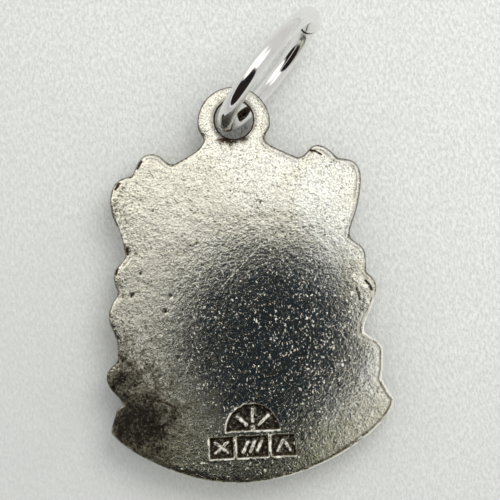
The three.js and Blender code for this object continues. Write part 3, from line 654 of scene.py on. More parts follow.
def cast_ribbon(bm, limit):
    """The ribbon with its sunk panel and lozenges, and the tails that are folded behind it."""
    start, end = RIBBON_ENDS

    def frame_or_panel(inset):
        a = math.degrees(inset / RIBBON_OUTER) + (PANEL_END_ANGLE if inset > PANEL_INSET else 0)
        return band(RIBBON_INNER + inset, RIBBON_OUTER - inset, start + a, end - a)

    raised(bm, RIBBON_STEPS, frame_or_panel)
    middle = (RIBBON_INNER + RIBBON_OUTER) / 2
    corners = (0, 90, 180, 270)
    for i in range(LOZENGES):
        degrees = start + (end - start) * (i + 0.5) / LOZENGES
        centre = on_circle(RIBBON_CENTRE, middle, degrees)
        raised(bm, LOZENGE_STEPS, lambda r: [on_circle(centre, r, degrees + a) for a in corners])
    for near, way in ((start, -1), (end, 1)):
        far = near + way * TAIL_ANGLE

        def tail_loop(inset):
            low, high = RIBBON_INNER + 0.1 + inset, RIBBON_OUTER - 0.1 - inset
            pulled = way * math.degrees(inset / RIBBON_OUTER)
            angles = np.linspace(near - way * TAIL_OVERLAP_ANGLE, far - pulled, TAIL_POINTS)
            loop = [
                *[on_circle(RIBBON_CENTRE, high, a) for a in angles],
                on_circle(RIBBON_CENTRE, (low + high) / 2, far - way * TAIL_NOTCH - pulled),
                *[on_circle(RIBBON_CENTRE, low, a) for a in reversed(angles)],
            ]
            return loop if way > 0 else loop[::-1]

        before = set(bm.verts)
        raised(bm, TAIL_STEPS, tail_loop)
        tail = list(set(bm.verts) - before)
        place(tail, [v.co[:] for v in tail], limit)


def cast_crest(bm):
    """A battlemented wall of two courses of stones."""
    x0, x1 = CREST_X - CREST_HALF_WIDTH, CREST_X + CREST_HALF_WIDTH
    top = CREST_FOOT + CREST_WALL
    raised(bm, WALL_STEPS, lambda inset: rectangle(x0, CREST_FOOT, x1, top, inset))
    width = 2 * CREST_HALF_WIDTH / STONES_IN_ROW
    course = CREST_WALL / 2
    stones = []
    for row in range(2):
        first = 0.5 if row else 1
        joints = [x0 + width * (k + first) for k in range(STONES_IN_ROW)]
        joints = [x0, *joints, x0 + STONES_IN_ROW * width]
        for a, b in zip(joints, joints[1:]):
            if b - a > 0.1:
                stones.append((a, b, CREST_FOOT + row * course, CREST_FOOT + (row + 1) * course))
    for k in range(0, STONES_IN_ROW, 2):
        stones.append((x0 + k * width, x0 + (k + 1) * width, top - 0.04, top + CREST_MERLON))
    gap = STONE_JOINT / 2
    for a, b, low, high in stones:
        raised(bm, STONE_STEPS, lambda inset: rectangle(a + gap, low + gap, b - gap, high - gap, inset))


# Making and marking meshes.


def put_in_scene(name, data):
    """A new object of the scene for a mesh, a lamp or a camera."""
    made = bpy.data.objects.new(name, data)
    bpy.context.scene.collection.objects.link(made)
    return made


def mesh_from(bm, name):
    """Turns the working mesh into a finished one."""
    mesh = bpy.data.meshes.new(name)
    bm.to_mesh(mesh)
    bm.free()
    return mesh


def remeshed(bm, name, spacing):
    """A mesh that joins the overlapping solids of the working mesh into one even skin."""
    source = put_in_scene(name, mesh_from(bm, name))
    remesh = source.modifiers.new("skin", "REMESH")
    remesh.mode = "VOXEL"
    remesh.voxel_size = spacing
    graph = bpy.context.evaluated_depsgraph_get()
    mesh = bpy.data.meshes.new_from_object(source.evaluated_get(graph))
    old = source.data
    bpy.data.objects.remove(source)
    bpy.data.meshes.remove(old)
    return mesh


def read_all(items, name, width, kind=np.float32):
    """One property of all items, with a row for each."""
    values = np.zeros(len(items) * width, kind)
    items.foreach_get(name, values)
    return values.reshape(-1, width)


def points_of(mesh):
    """Places of the vertices."""
    return read_all(mesh.vertices, "co", 3).astype(float)


def set_points(mesh, points):
    """Moves the vertices to the given places."""
    mesh.vertices.foreach_set("co", points.astype(np.float32).ravel())
    mesh.update()


def normals_of(mesh):
    """Normals at the vertices."""
    return read_all(mesh.vertex_normals, "vector", 3).astype(float)


def neighbours(mesh):
    """Both ends of every edge."""
    return read_all(mesh.edges, "vertices", 2, np.int32)


def relaxed(values, ends, rounds):
    """Values at the vertices, averaged with their neighbours a number of times."""
    values = values.copy()
    count = np.bincount(ends.ravel(), minlength=len(values)).clip(1)
    for _ in range(rounds):
        total = np.zeros_like(values)
        for k in range(values.shape[1]):
            total[:, k] = np.bincount(ends[:, 0], values[ends[:, 1], k], len(values))
            total[:, k] += np.bincount(ends[:, 1], values[ends[:, 0], k], len(values))
        values = 0.5 * values + 0.5 * total / count[:, None]
    return values


def hollow_of(mesh, rounds):
    """How far each vertex lies under the skin around it, in millimetres; ridges count below zero."""
    points = points_of(mesh)
    return ((relaxed(points, neighbours(mesh), rounds) - points) * normals_of(mesh)).sum(1)


def attribute(mesh, name, values):
    """Paints one number on every vertex."""
    layer = mesh.attributes.new(name, "FLOAT", "POINT")
    layer.data.foreach_set("value", values.astype(np.float32))


def grain(points, size, seed, octaves=1):
    """Smooth noise from -1 to 1 with features of a size, one value per point."""
    shift = Vector((seed, 2 * seed, 3 * seed))
    return np.array([noise.fractal(Vector(p) / size + shift, 1.0, 2.0, octaves) for p in points])


def struck_field(points):
    """How far each point is from the struck places and the bars in them, and which are low left."""
    a = math.radians(STRUCK_TILT)
    rel = points[:, :2] - np.array(ROW)
    u = rel[:, 0] * math.cos(a) + rel[:, 1] * math.sin(a)
    v = -rel[:, 0] * math.sin(a) + rel[:, 1] * math.cos(a)
    places, low_left = [], np.zeros(len(points))
    for middle, width in SQUARES:
        dx, dy = abs(u - middle) - width / 2, abs(v) - SQUARE_HEIGHT / 2
        places.append(np.hypot(dx.clip(0), dy.clip(0)) + np.minimum(np.maximum(dx, dy), 0))
        beside = ((dx > dy) & (u < middle)) | ((dy > dx) & (v < 0))
        low_left[(places[-1] < BURR_REACH) & beside] = 1
    arch = np.hypot(u - ARCH[0], v - ARCH[1]) - ARCH_RADIUS
    places.append(np.maximum(arch, ARCH[1] - v))
    beside = (ARCH[1] - v > arch) | (u < ARCH[0] - ARCH_LEFT)
    low_left[(places[-1] < BURR_REACH) & (v > ARCH[1] - BURR_REACH) & beside] = 1
    figures = [distance_to_line(u, v, start, end) - STROKE for start, end in STRUCK_BARS]
    figures += [np.hypot(u - x, v - y) - PIP for x, y in STRUCK_PIPS]
    return np.min(places, axis=0), np.min(figures, axis=0), low_left


def refine(mesh, near):
    """Halves the spacing of the points where a mask of the vertices says so."""
    bm = bmesh.new()
    bm.from_mesh(mesh)
    edges = [e for e in bm.edges if near[e.verts[0].index] and near[e.verts[1].index]]
    bmesh.ops.subdivide_edges(bm, edges=edges, cuts=1, use_grid_fill=True)
    bmesh.ops.triangulate(bm, faces=[f for f in bm.faces if len(f.verts) > 4])
    bm.to_mesh(mesh)
    bm.free()


def near_marks(points):
    """Which points lie at the struck places, the pits or the scratches of the back."""
    round_pit, round_scratch = 0.3, 0.15
    boxes = [STRUCK_BOX, *[(x, y, round_pit, round_pit) for x, y, _, _ in PITS]]
    for (x0, y0), (x1, y1), _, _ in SCRATCHES:
        half, tall = abs(x1 - x0) / 2 + round_scratch, abs(y1 - y0) / 2 + round_scratch
        boxes.append(((x0 + x1) / 2, (y0 + y1) / 2, half, tall))
    near = np.zeros(len(points), bool)
    for x, y, half, tall in boxes:
        near |= (abs(points[:, 0] - x) < half) & (abs(points[:, 1] - y) < tall)
    return near & (points[:, 2] > BACK_Z - 0.1)


def marks_on_back(points, depth):
    """How far struck places, pits and scratches lower the back, their dirt, and what is scuffed."""
    edge, figure, low_left = struck_field(points)
    wobble = 0.035 * grain(points, 0.22, 9.2, 2)
    sunk = smoothstep(0.03, -0.06, edge + wobble)
    stands = smoothstep(0.035, -0.05, figure + 1.3 * wobble)
    ragged = smoothstep(-0.5, 0.3, grain(points, 0.3, 6.1))
    burr = np.exp(-((edge - 0.045) / 0.04) ** 2) * (0.05 + 1.5 * low_left * ragged)
    rough = grain(points, 0.16, 4.4, 2)
    lowered = depth * sunk * (1 - 0.72 * stands) * (1 + 0.16 * rough) - 0.022 * burr
    grime = sunk * (0.8 + 0.35 * rough) * (1 - 0.85 * stands)
    for x, y, radius, deep in PITS:
        d = np.hypot(points[:, 0] - x, points[:, 1] - y) / radius
        lowered += deep * np.exp(-d * d * 1.4)
        grime = np.maximum(grime, 0.9 * np.exp(-d * d * 1.2))
    for start, end, half, deep in SCRATCHES:
        d = distance_to_line(points[:, 0], points[:, 1], start, end) / half
        lowered += deep * np.exp(-d * d)
        grime = np.maximum(grime, 1.6 * np.exp(-d * d * 0.8))
    bar_tops = 0.9 * stands * sunk * smoothstep(-0.5, 0.4, rough)
    return lowered, grime, np.maximum(burr * smoothstep(-0.6, 0.2, rough), bar_tops)


def smudge_under_eye(points):
    """Dirt that runs down from the eye in short rays."""
    dx, dy = points[:, 0] + 0.15, 8.13 - points[:, 1]
    way = np.degrees(np.arctan2(dx, dy + 1.4))
    rays = 0.5 + 0.5 * grain(np.stack((way / 3.2, 0.5 * dy, 0 * dy), axis=1), 1.0, 2.2, 2)
    fading = np.exp(-((dx / 0.78) ** 4)) * np.exp(-dy / (0.15 + 0.35 * rays**2))
    return smoothstep(-0.12, 0.02, dy) * fading


def rim_marks(points, rim):
    """How far the grooves along the rims lower the back, their dirt together with painted shade along
    the outline and on the hole's wall, and how bare the rim is.
    """
    x, y, z = points.T
    flat = points * (1, 1, 0)
    patchy = smoothstep(-0.25, 0.25, grain(flat, 1.5, 7.7, 2))
    groove = 0.65 * patchy * np.exp(-((rim - 0.21) / 0.045) ** 2)
    radius = np.hypot(x - HOLE.x, y - HOLE.y)
    groove *= np.where(radius < 1.3, 0, 1 - 0.6 * smoothstep(7.6, 8.2, y))
    lip = np.exp(-((radius - HOLE_RADIUS - 0.14) / 0.03) ** 2)
    # Painted shade on the hole's wall, below the back's face.
    wall = smoothstep(HOLE_RADIUS + 0.3, HOLE_RADIUS + 0.2, radius)
    wall *= smoothstep(BACK_Z - 0.04, BACK_Z - 0.1, z)
    rubbed = smoothstep(3.5, 4.5, x) * smoothstep(0.6, 0, y)
    rubbed = np.maximum(rubbed, smoothstep(-3.2, -3.8, y))
    right = smoothstep(-0.5, 2.5, x)
    # Painted shade: a dark line along the outline and down the outer side walls, standing in for the
    # shaded floor that they mirror, fainter where the rim is rubbed.
    side = smoothstep(BACK_Z - 0.1, BACK_Z - 0.2, z)
    outside = np.maximum(smoothstep(0.11, 0.06, rim), smoothstep(0.16, 0.08, rim) * side)
    outside *= smoothstep(BACK_Z - 0.45, BACK_Z - 0.2, z) * (1 - (0.55 + 0.35 * right) * rubbed)
    broken = smoothstep(-0.45, 0.1, grain(flat, 0.55, 3.9, 2))
    inside = 0.9 * rubbed * broken * np.exp(-((rim - 0.16) / 0.04) ** 2)
    bare = rubbed * (0.3 * right + (0.35 + 0.3 * right) * broken) * smoothstep(0.11, 0.05, rim)
    bare *= smoothstep(BACK_Z - 0.35, BACK_Z - 0.2, z)
    smudge = smudge_under_eye(points)
    # Real dirt of the grooves, the lip, the smudge and the rubbed band, together with the painted shade
    # of the outline and the hole's wall.
    dirt = np.max([0.95 * groove, 0.55 * lip, 0.75 * outside, 1.2 * wall, 1.5 * smudge, inside], axis=0)
    return 0.03 * np.maximum(groove, inside) + 0.008 * lip, dirt, bare


def stains(mesh, points):
    """Paints where the silver is tarnished brown and where it has an olive cast."""
    x, y = points[:, 0], points[:, 1]
    cloud = grain(points, 1.1, 1.3, 4)
    brown = sum(
        strength * np.exp(-((x - x0) / across) ** 2 - ((y - y0) / along) ** 2)
        for strength, (x0, y0), (across, along) in STAINS
    )
    brown += 0.08 * smoothstep(-4.2, -6.0, x)
    attribute(mesh, "tarnish", (brown * (1 + 0.25 * cloud)).clip(0, 1))
    attribute(mesh, "olive", smoothstep(-3.0, -7.0, y + 0.6 * cloud))


def soften(mesh, outline, reach):
    """Rounds the casting, mostly at the edges of its back, and refines it where marks will come."""
    points, ends = points_of(mesh), neighbours(mesh)
    rim, _ = distance_to_loop(points[:, :2], outline)
    hole = abs(np.hypot(points[:, 0] - HOLE.x, points[:, 1] - HOLE.y) - HOLE_RADIUS)
    soft = relaxed(points, ends, 2)
    softer = relaxed(soft, ends, 5)
    near = smoothstep(reach, reach / 2, np.minimum(rim, hole + 0.1))[:, None]
    back = smoothstep(EYE_FRONT_Z - 0.3, EYE_FRONT_Z + 0.1, points[:, 2])[:, None]
    points = soft + (softer - soft) * near * back
    set_points(mesh, points)
    at_edges = (np.minimum(rim, hole) < RIM_WIDTH) & (points[:, 2] > BACK_Z - RIM_DEPTH)
    refine(mesh, near_marks(points) | at_edges)


def mark(mesh, outline, s):
    """Makes the back uneven, sinks the marks of striking and wear into it and paints their dirt, along
    with painted shade at the outline and on the hole's wall.
    """
    points, normals = points_of(mesh), normals_of(mesh)
    on_back = smoothstep(BACK_Z - 0.12, BACK_Z - 0.03, points[:, 2])
    on_back *= smoothstep(0.5, 0.9, normals[:, 2])
    points -= normals * (0.006 + 0.006 * grain(points, 0.8, 5.7, 2))[:, None]
    broad = 0.5 + 0.5 * grain(points, 2.4, 3.1, 2)
    points[:, 2] -= on_back * broad.clip(0, 1) * s.unevenness / MM
    lowered, grime, matt = marks_on_back(points, s.struck_depth / MM)
    rim, _ = distance_to_loop(points[:, :2], outline)
    grooves, dirt, bare = rim_marks(points, rim)
    points[:, 2] -= on_back * (lowered + grooves)
    set_points(mesh, points)
    attribute(mesh, "hollow", hollow_of(mesh, 6))
    # The grime attribute holds real dirt and also the painted shade along the outline and on the hole's
    # wall.
    attribute(mesh, "grime", np.maximum(grime * on_back, dirt))
    attribute(mesh, "scuffed", np.maximum(matt * on_back, bare).clip(0, 1))
    stains(mesh, points)


def finish_piece(mesh, name, body, node, material):
    """Scales a mesh to metres and makes it a piece that rides on a body and replaces a CAD node."""
    mesh.transform(Matrix.Scale(MM, 4))
    made = put_in_scene(name, mesh)
    mesh.materials.clear()
    mesh.materials.append(material)
    mesh.polygons.foreach_set("use_smooth", [True] * len(mesh.polygons))
    mesh.update()
    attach(made, body)
    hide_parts(node)


# Materials.


# Sockets of the Mix node that take and give colours.
MIX_A, MIX_B, MIX_RESULT = 6, 7, 2

# Colours of wear between the silver, tarnish and grime of the settings.
GRAIN_TONE = (0.3, 0.26, 0.18)
OLIVE_TONE = (0.42, 0.41, 0.26)
STAIN_TONE = (0.15, 0.137, 0.075)
SEAM_TONE = (0.02, 0.015, 0.01)


def tinted(colour, *shares):
    """A colour times one share, or times a share for each of red, green and blue, and never above 1."""
    return tuple(min(1, c * k) for c, k in zip(colour, shares * 3 if len(shares) == 1 else shares))


class Finish:
    """A material under construction: short calls that add a node and give back its output."""

    def __init__(self, name):
        self.material = bpy.data.materials.new(name)
        self.material.use_nodes = True
        self.nodes = self.material.node_tree.nodes
        self.links = self.material.node_tree.links
        self.shader = self.nodes["Principled BSDF"]
        mapping = self.nodes.new("ShaderNodeMapping")
        mapping.inputs["Scale"].default_value = (1 / MM,) * 3
        self.links.new(self.nodes.new("ShaderNodeTexCoord").outputs["Object"], mapping.inputs["Vector"])
        self.place = mapping.outputs["Vector"]

    def put(self, socket, value):
        """Links an output to a socket, or sets it to a constant."""
        if isinstance(value, bpy.types.NodeSocket):
            self.links.new(value, socket)
        elif isinstance(value, (tuple, list)) and len(value) == 3 and socket.type == "RGBA":
            socket.default_value = (*value, 1)
        else:
            socket.default_value = value

    def sheen_of(self, **values):
        """Sets inputs of the main shader."""
        for name, value in values.items():
            self.put(self.shader.inputs[name.replace("_", " ")], value)

    def noise(self, size, detail, roughness=0.5, distortion=0.0, place=None):
        """Soft noise with features of a size in millimetres."""
        node = self.nodes.new("ShaderNodeTexNoise")
        self.links.new(place or self.place, node.inputs["Vector"])
        node.inputs["Scale"].default_value = 1 / size
        node.inputs["Detail"].default_value = detail
        node.inputs["Roughness"].default_value = roughness
        node.inputs["Distortion"].default_value = distortion
        return node.outputs["Fac"]

    def cells(self, size):
        """Distance from the middle of the nearest of many cells of a size in millimetres."""
        node = self.nodes.new("ShaderNodeTexVoronoi")
        self.links.new(self.place, node.inputs["Vector"])
        node.inputs["Scale"].default_value = 1 / size
        return node.outputs["Distance"]

    def painted(self, name):
        """A number painted on the vertices."""
        node = self.nodes.new("ShaderNodeAttribute")
        node.attribute_name = name
        return node.outputs["Fac"]

    def stretched(self, scale, turn):
        """Places turned and then scaled, so that what uses them is drawn out."""
        node = self.nodes.new("ShaderNodeMapping")
        node.inputs["Scale"].default_value = scale
        node.inputs["Rotation"].default_value = (0, 0, turn)
        self.links.new(self.place, node.inputs["Vector"])
        return node.outputs["Vector"]

    def measured(self, operation, vector):
        """One number from a place and a fixed vector, in millimetres."""
        node = self.nodes.new("ShaderNodeVectorMath")
        node.operation = operation
        self.links.new(self.place, node.inputs[0])
        node.inputs[1].default_value = vector
        return node.outputs["Value"]

    def along(self, way):
        """How far a place lies along a direction."""
        return self.measured("DOT_PRODUCT", way)

    def hairline(self, start, end, half):
        """A straight line or rub that fades out towards its sides and ends."""
        start, end = Vector(start), Vector(end)
        way = (end - start).normalized()
        aside = self.along((-way.y, way.x, 0))
        off = self.math("ABSOLUTE", self.math("SUBTRACT", aside, way.x * start.y - way.y * start.x))
        run = self.math("SUBTRACT", self.along((way.x, way.y, 0)), way.dot(start + end) / 2)
        reach = (end - start).length / 2
        ends = self.span(self.math("ABSOLUTE", run), reach, 0.6 * reach)
        return self.times(self.span(off, half, 0.4 * half), ends)

    def math(self, operation, a, b=0.0):
        """One simple operation on one or two numbers."""
        node = self.nodes.new("ShaderNodeMath")
        node.operation = operation
        self.put(node.inputs[0], a)
        self.put(node.inputs[1], b)
        return node.outputs["Value"]

    def times(self, a, b):
        """The product of two numbers."""
        return self.math("MULTIPLY", a, b)

    def plus(self, a, b):
        """The sum of two numbers."""
        return self.math("ADD", a, b)

    def most(self, a, b):
        """The greater of two numbers."""
        return self.math("MAXIMUM", a, b)

    def span(self, value, low, high, to_low=0.0, to_high=1.0):
        """Eases from one number to another as a value runs from low to high."""
        node = self.nodes.new("ShaderNodeMapRange")
        node.interpolation_type = "SMOOTHSTEP"
        ends = {"From Min": low, "From Max": high, "To Min": to_low, "To Max": to_high}
        for name, number in {"Value": value, **ends}.items():
            self.put(node.inputs[name], number)
        return node.outputs["Result"]

    def mix(self, share, a, b):
        """Mixes two colours by a share."""
        node = self.nodes.new("ShaderNodeMix")
        node.data_type = "RGBA"
        self.put(node.inputs["Factor"], share)
        self.put(node.inputs[MIX_A], a)
        self.put(node.inputs[MIX_B], b)
        return node.outputs[MIX_RESULT]

    def bump(self, height, depth, normal=None):
        """Relief from a height, with a depth in millimetres."""
        node = self.nodes.new("ShaderNodeBump")
        node.inputs["Distance"].default_value = depth * MM
        self.links.new(height, node.inputs["Height"])
        if normal is not None:
            self.links.new(normal, node.inputs["Normal"])
        return node.outputs["Normal"]


def cast_silver(settings):
    """Worn cast silver: orange-peel grain, grime in hollows, painted shade at the outline and in the
    hole, brown and olive tarnish, bright ridges.
    """
    f = Finish("cast_silver")
    silver, tarnish, grime = (tuple(c) for c in (settings.silver, settings.tarnish, settings.grime))
    from_left = f.along((1, 0, 0))
    cloud = f.noise(2.6, 4, 0.6, 0.3)
    mottle = f.noise(0.5, 4, 0.65)
    fine = f.noise(0.105, 3, 0.65, 0.5)

    # The bare metal: warmer at the left, with cloudy, mottled and fine darker grain.
    warm, cool = tinted(silver, 1, 0.985, 0.93), tinted(silver, 0.98, 0.99, 1.03)
    tone = f.mix(f.span(from_left, -6, 5), warm, cool)
    tone = f.mix(f.span(cloud, 0.35, 0.65), tone, tinted(silver, 0.9, 0.885, 0.84))
    tone = f.mix(f.span(mottle, 0.45, 0.8, 0, 0.35), tone, tinted(silver, 0.72))
    tone = f.mix(f.span(fine, 0.45, 0.3, 0, 0.7), tone, GRAIN_TONE)

    # Olive and brown tarnish.
    olive = f.times(f.painted("olive"), f.span(mottle, 0.25, 0.6, 0.4, 1))
    tone = f.mix(f.times(olive, 0.8), tone, OLIVE_TONE)
    brown = f.plus(f.painted("tarnish"), f.span(mottle, 0.3, 0.7, 0.22, -0.22))
    brown = f.plus(brown, f.span(fine, 0.3, 0.65, 0.24, -0.3))
    stained = f.span(brown, 0.08, 0.45)
    tone = f.mix(f.times(stained, 0.85), tone, STAIN_TONE)
    tone = f.mix(f.span(brown, 0.16, 0.9), tone, tarnish)

    # Dirt in the hollows, with the painted shade that the grime attribute carries at the outline and on
    # the hole's wall, and ridges that are worn bright.
    hollow = f.painted("hollow")
    dirt = f.plus(f.span(hollow, 0.006, 0.035), f.painted("grime"))
    dirt = f.times(dirt, f.span(fine, 0.25, 0.6, 1.1, 0.7))
    dirt_and_shade_tone = f.mix(f.span(fine, 0.4, 0.62), grime, tinted(grime, 2.6))
    tone = f.mix(f.span(dirt, 0.1, 0.8), tone, dirt_and_shade_tone)
    worn = f.span(hollow, -0.006, -0.035)
    tone = f.mix(f.times(worn, 0.7), tone, tinted(silver, 1.08))
    rough = f.span(mottle, 0.3, 0.75, 0.07, 0.14)
    rough = f.plus(rough, f.times(f.plus(dirt, f.times(stained, 0.5)), 0.35))

    # Bare scuffs, hairlines and flecks, which look matt and pale from anywhere.
    scuffed = f.painted("scuffed")
    for start, end, half, share in HAIRLINES:
        line = f.times(f.hairline(start, end, half), f.span(fine, 0.4, 0.6, 0.4 * share, share))
        scuffed = f.most(scuffed, line)
    long_flecks = f.noise(0.09, 2, 0.5, 0.8, f.stretched((1, 0.72, 1), 0.9))
    patchy = f.plus(f.span(mottle, 0.35, 0.65, 0.67, 0.615), f.span(from_left, -1, 4, 0, -0.03))
    flecks = f.span(f.math("SUBTRACT", long_flecks, patchy), 0, 0.08)
    flecks = f.times(flecks, f.span(f.painted("tarnish"), 0.12, 0.4, 1, 0.15))
    scuffed = f.most(scuffed, f.times(flecks, 0.9))
    tone = f.mix(f.times(scuffed, 0.9), tone, silver)
    dull = f.most(scuffed, f.times(stained, 0.45))
    f.sheen_of(Base_Color=tone, Roughness=rough, Metallic=f.span(dull, 0.1, 0.9, 1, 0.1))

    # Relief, from the broad peel to the finest grain.
    peel = f.bump(f.noise(0.7, 2), 0.02)
    hammered = f.bump(f.noise(0.27, 2, 0.5, 0.4), 0.026, peel)
    pebbles = f.bump(fine, 0.02, hammered)
    raised_flecks = f.bump(flecks, 0.032, pebbles)
    f.sheen_of(Normal=f.bump(f.noise(0.05, 2, 0.6), 0.0012, raised_flecks))
    return f.material


def polished_silver(settings):
    """Mirror-polished wire with faint drawing lines and small dull touches."""
    f = Finish("polished_silver")
    colour = tuple(settings.colour)
    dull = f.noise(1.1, 4, 0.6)
    tone = f.mix(f.span(dull, 0.45, 0.75), colour, tinted(colour, 0.9))
    tone = f.mix(f.painted("grime"), tone, SEAM_TONE)
    f.sheen_of(Base_Color=tone, Roughness=f.span(dull, 0.4, 0.8, 0.05, 0.13), Metallic=1.0)
    f.sheen_of(Normal=f.bump(f.noise(0.6, 3), 0.004, f.bump(f.noise(0.09, 2), 0.0006)))
    return f.material


def fired_enamel(name, colour):
    """Glossy opaque enamel: deeper and lighter drifts, fine specks and pinholes under a clear gloss."""
    f = Finish(name)
    drift = f.noise(1.4, 3, 0.5, 0.4)
    tone = f.mix(f.span(drift, 0.35, 0.7), colour, tuple(min(1, 1.7 * c + 0.01) for c in colour))
    specks = f.span(f.cells(0.22), 0.05, 0.02)
    tone = f.mix(f.times(specks, 0.5), tone, tinted(colour, 0.3))
    f.sheen_of(Base_Color=tone, Roughness=f.span(drift, 0.3, 0.7, 0.12, 0.2))
    f.sheen_of(Coat_Weight=1.0, Coat_Roughness=0.03, Specular_IOR_Level=0.55)
    f.sheen_of(Normal=f.bump(f.noise(0.8, 2), 0.01, f.bump(specks, 0.004)))
    return f.material


def floor_finish(colour):
    """Pale surface with a fine short grain, painted shade that darkens it towards the lower left, and a
    painted shadow under the eye's hole.
    """
    f = Finish("pale_surface")
    fibre = f.noise(0.12, 3, 0.7, 0.4, f.stretched((1, 0.55, 1), 0.9))
    drift = f.noise(3.5, 2)
    # Painted shade: the floor's colour darkens towards the lower left, with a random drift on top.
    far = f.plus(f.span(f.along((0.6, 0.8, 0)), -16, 14), f.span(drift, 0.2, 0.8, -0.12, 0.12))
    tone = f.mix(far, tinted(colour, 0.8), colour)
    # Painted shadow: the floor's colour darkens to a tenth under the eye's hole.
    from_eye = f.measured("DISTANCE", (HOLE.x - 0.1, HOLE.y - 0.3, 0))
    tone = f.mix(f.span(from_eye, 1.35, 0.6, 0, 0.85), tone, tinted(colour, 0.1))
    tone = f.mix(f.span(fibre, 0.3, 0.7, 1, 0), tone, tinted(colour, 0.72))
    f.sheen_of(Base_Color=tone, Roughness=0.8, Normal=f.bump(fibre, 0.03))
    return f.material


# Operators.


class CHARM_OT_casting(bpy.types.Operator):
    """Casts the body: plate, eye, shield, waves, studs, crest, leaves and ribbon in one"""

    bl_idname = "charm.casting"
    bl_label = "Cast body"

    def execute(self, context):
        s = context.scene.charm_casting
        bm = bmesh.new()
        sides, face = cast_plate(bm)
        limit = offset(face, LEAF_INSET)
        cast_eye(bm)
        for spine, half, rise in LEAVES:
            cast_leaf(bm, spine, half, rise, limit)
        cast_crest(bm)
        cast_ribbon(bm, limit)
        cast_shield(bm)
        bmesh.ops.recalc_face_normals(bm, faces=bm.faces)
        mesh = remeshed(bm, "casting", s.grid / MM)
        outline = [*sides, *[on_circle(EYE, EYE_RADIUS, a) for a in range(-7, 183, 3)]]
        soften(mesh, outline, s.edge_round / MM)
        mark(mesh, outline, s)
        finish_piece(mesh, "charm_casting", "charm", "charm_body", cast_silver(s))
        return {"FINISHED"}


class CHARM_OT_ring(bpy.types.Operator):
    """Bends the carrying ring from round wire and stands it through the eye"""

    bl_idname = "charm.ring"
    bl_label = "Carrying ring"

    def execute(self, context):
        s = context.scene.charm_ring
        wire, bend = s.wire_radius / MM, (s.outer_radius - s.wire_radius) / MM
        gap = s.seam_gap / MM / bend
        origin = (0, 0, 0)
        bm = bmesh.new()
        circle = bmesh.ops.create_circle(bm, segments=40, radius=wire, cap_ends=False)["verts"]
        bmesh.ops.rotate(bm, verts=circle, cent=origin, matrix=Matrix.Rotation(math.pi / 2, 3, "X"))
        bmesh.ops.translate(bm, verts=circle, vec=(bend, 0, 0))
        start = s.seam_angle + gap / 2
        bmesh.ops.rotate(bm, verts=circle, cent=origin, matrix=Matrix.Rotation(start, 3, "Z"))
        bmesh.ops.spin(
            bm, geom=bm.verts[:] + bm.edges[:], cent=origin, axis=(0, 0, 1), dvec=origin,
            angle=2 * math.pi - gap, steps=200, use_merge=False, use_duplicate=False,
        )
        open_ends = [e for e in bm.edges if len(e.link_faces) == 1]
        bmesh.ops.holes_fill(bm, edges=open_ends, sides=0)
        bmesh.ops.recalc_face_normals(bm, faces=bm.faces)
        sharp = [e for e in bm.edges if e.calc_face_angle(0) > 1]
        bmesh.ops.bevel(
            bm, geom=sharp, offset=0.02, offset_type="OFFSET", segments=2, profile=0.5, affect="EDGES",
            material=-1,
        )
        aside = Vector((-math.cos(s.azimuth), math.sin(s.azimuth), 0))
        outward = Vector((math.sin(s.azimuth), math.cos(s.azimuth), 0))
        upright = Vector((0, 0, math.cos(s.lean))) + aside * math.sin(s.lean)
        across = outward.cross(upright)
        z = bend * math.cos(s.lean) + wire + RING_FOOT_Z
        drop = (z - (EYE_FRONT_Z + BACK_Z) / 2) / math.cos(s.lean)
        along = RING_SHIFT_OUT + math.sqrt(bend * bend - drop * drop)
        centre = Vector((HOLE.x, HOLE.y, z)) + outward * along + aside * RING_SHIFT_ASIDE
        from_seam = []
        for v in bm.verts:
            p = v.co
            a = (math.atan2(p.y, p.x) - s.seam_angle + math.pi) % (2 * math.pi) - math.pi
            slip = SEAM_SLIP * math.copysign(math.exp(-abs(a) * 3), a)
            from_seam.append(bend * abs(a) - s.seam_gap / MM / 2)
            v.co = centre + outward * p.x + upright * p.y + across * (p.z + slip)
        mesh = mesh_from(bm, "carrying_ring")
        attribute(mesh, "grime", smoothstep(0.05, 0.02, np.array(from_seam)))
        finish_piece(mesh, "carrying_ring", "ring", "jump_ring", polished_silver(s))
        return {"FINISHED"}


class CHARM_OT_enamel(bpy.types.Operator):
    """Fires the three enamel fields into the tray of the shield"""

    bl_idname = "charm.enamel"
    bl_label = "Enamel fields"

    def execute(self, context):
        s = context.scene.charm_enamel
        for node, name, slot, colour in (
            ("enamel_field", "blue_enamel_upper", "blue_enamel", s.blue),
            ("enamel_water_upper", "green_enamel_middle", "green_enamel", s.green),
            ("enamel_water_lower", "green_enamel_lower", "green_enamel", s.green),
        ):
            bm = bmesh.new()
            bm.from_mesh(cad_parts[node].data)
            bmesh.ops.scale(bm, verts=bm.verts, vec=(1 / MM,) * 3)
            bmesh.ops.remove_doubles(bm, verts=bm.verts, dist=1e-4)
            mesh = remeshed(bm, name, ENAMEL_GRID)
            ends = neighbours(mesh)
            points = relaxed(points_of(mesh), ends, 3)
            set_points(mesh, points)
            normals = normals_of(mesh)
            points += ENAMEL_OVERLAP * normals
            front = points[:, 2] < ENAMEL_FRONT_Z
            facing = front[:, None].astype(float) * (normals[:, 2:] < -0.97)
            inner = relaxed(facing, ends, 60)[:, 0]
            points[:, 2] -= front * smoothstep(0.3, 1.0, inner) * s.crown / MM
            set_points(mesh, points)
            finish_piece(mesh, name, "charm", node, fired_enamel(name, tuple(colour)))
        return {"FINISHED"}


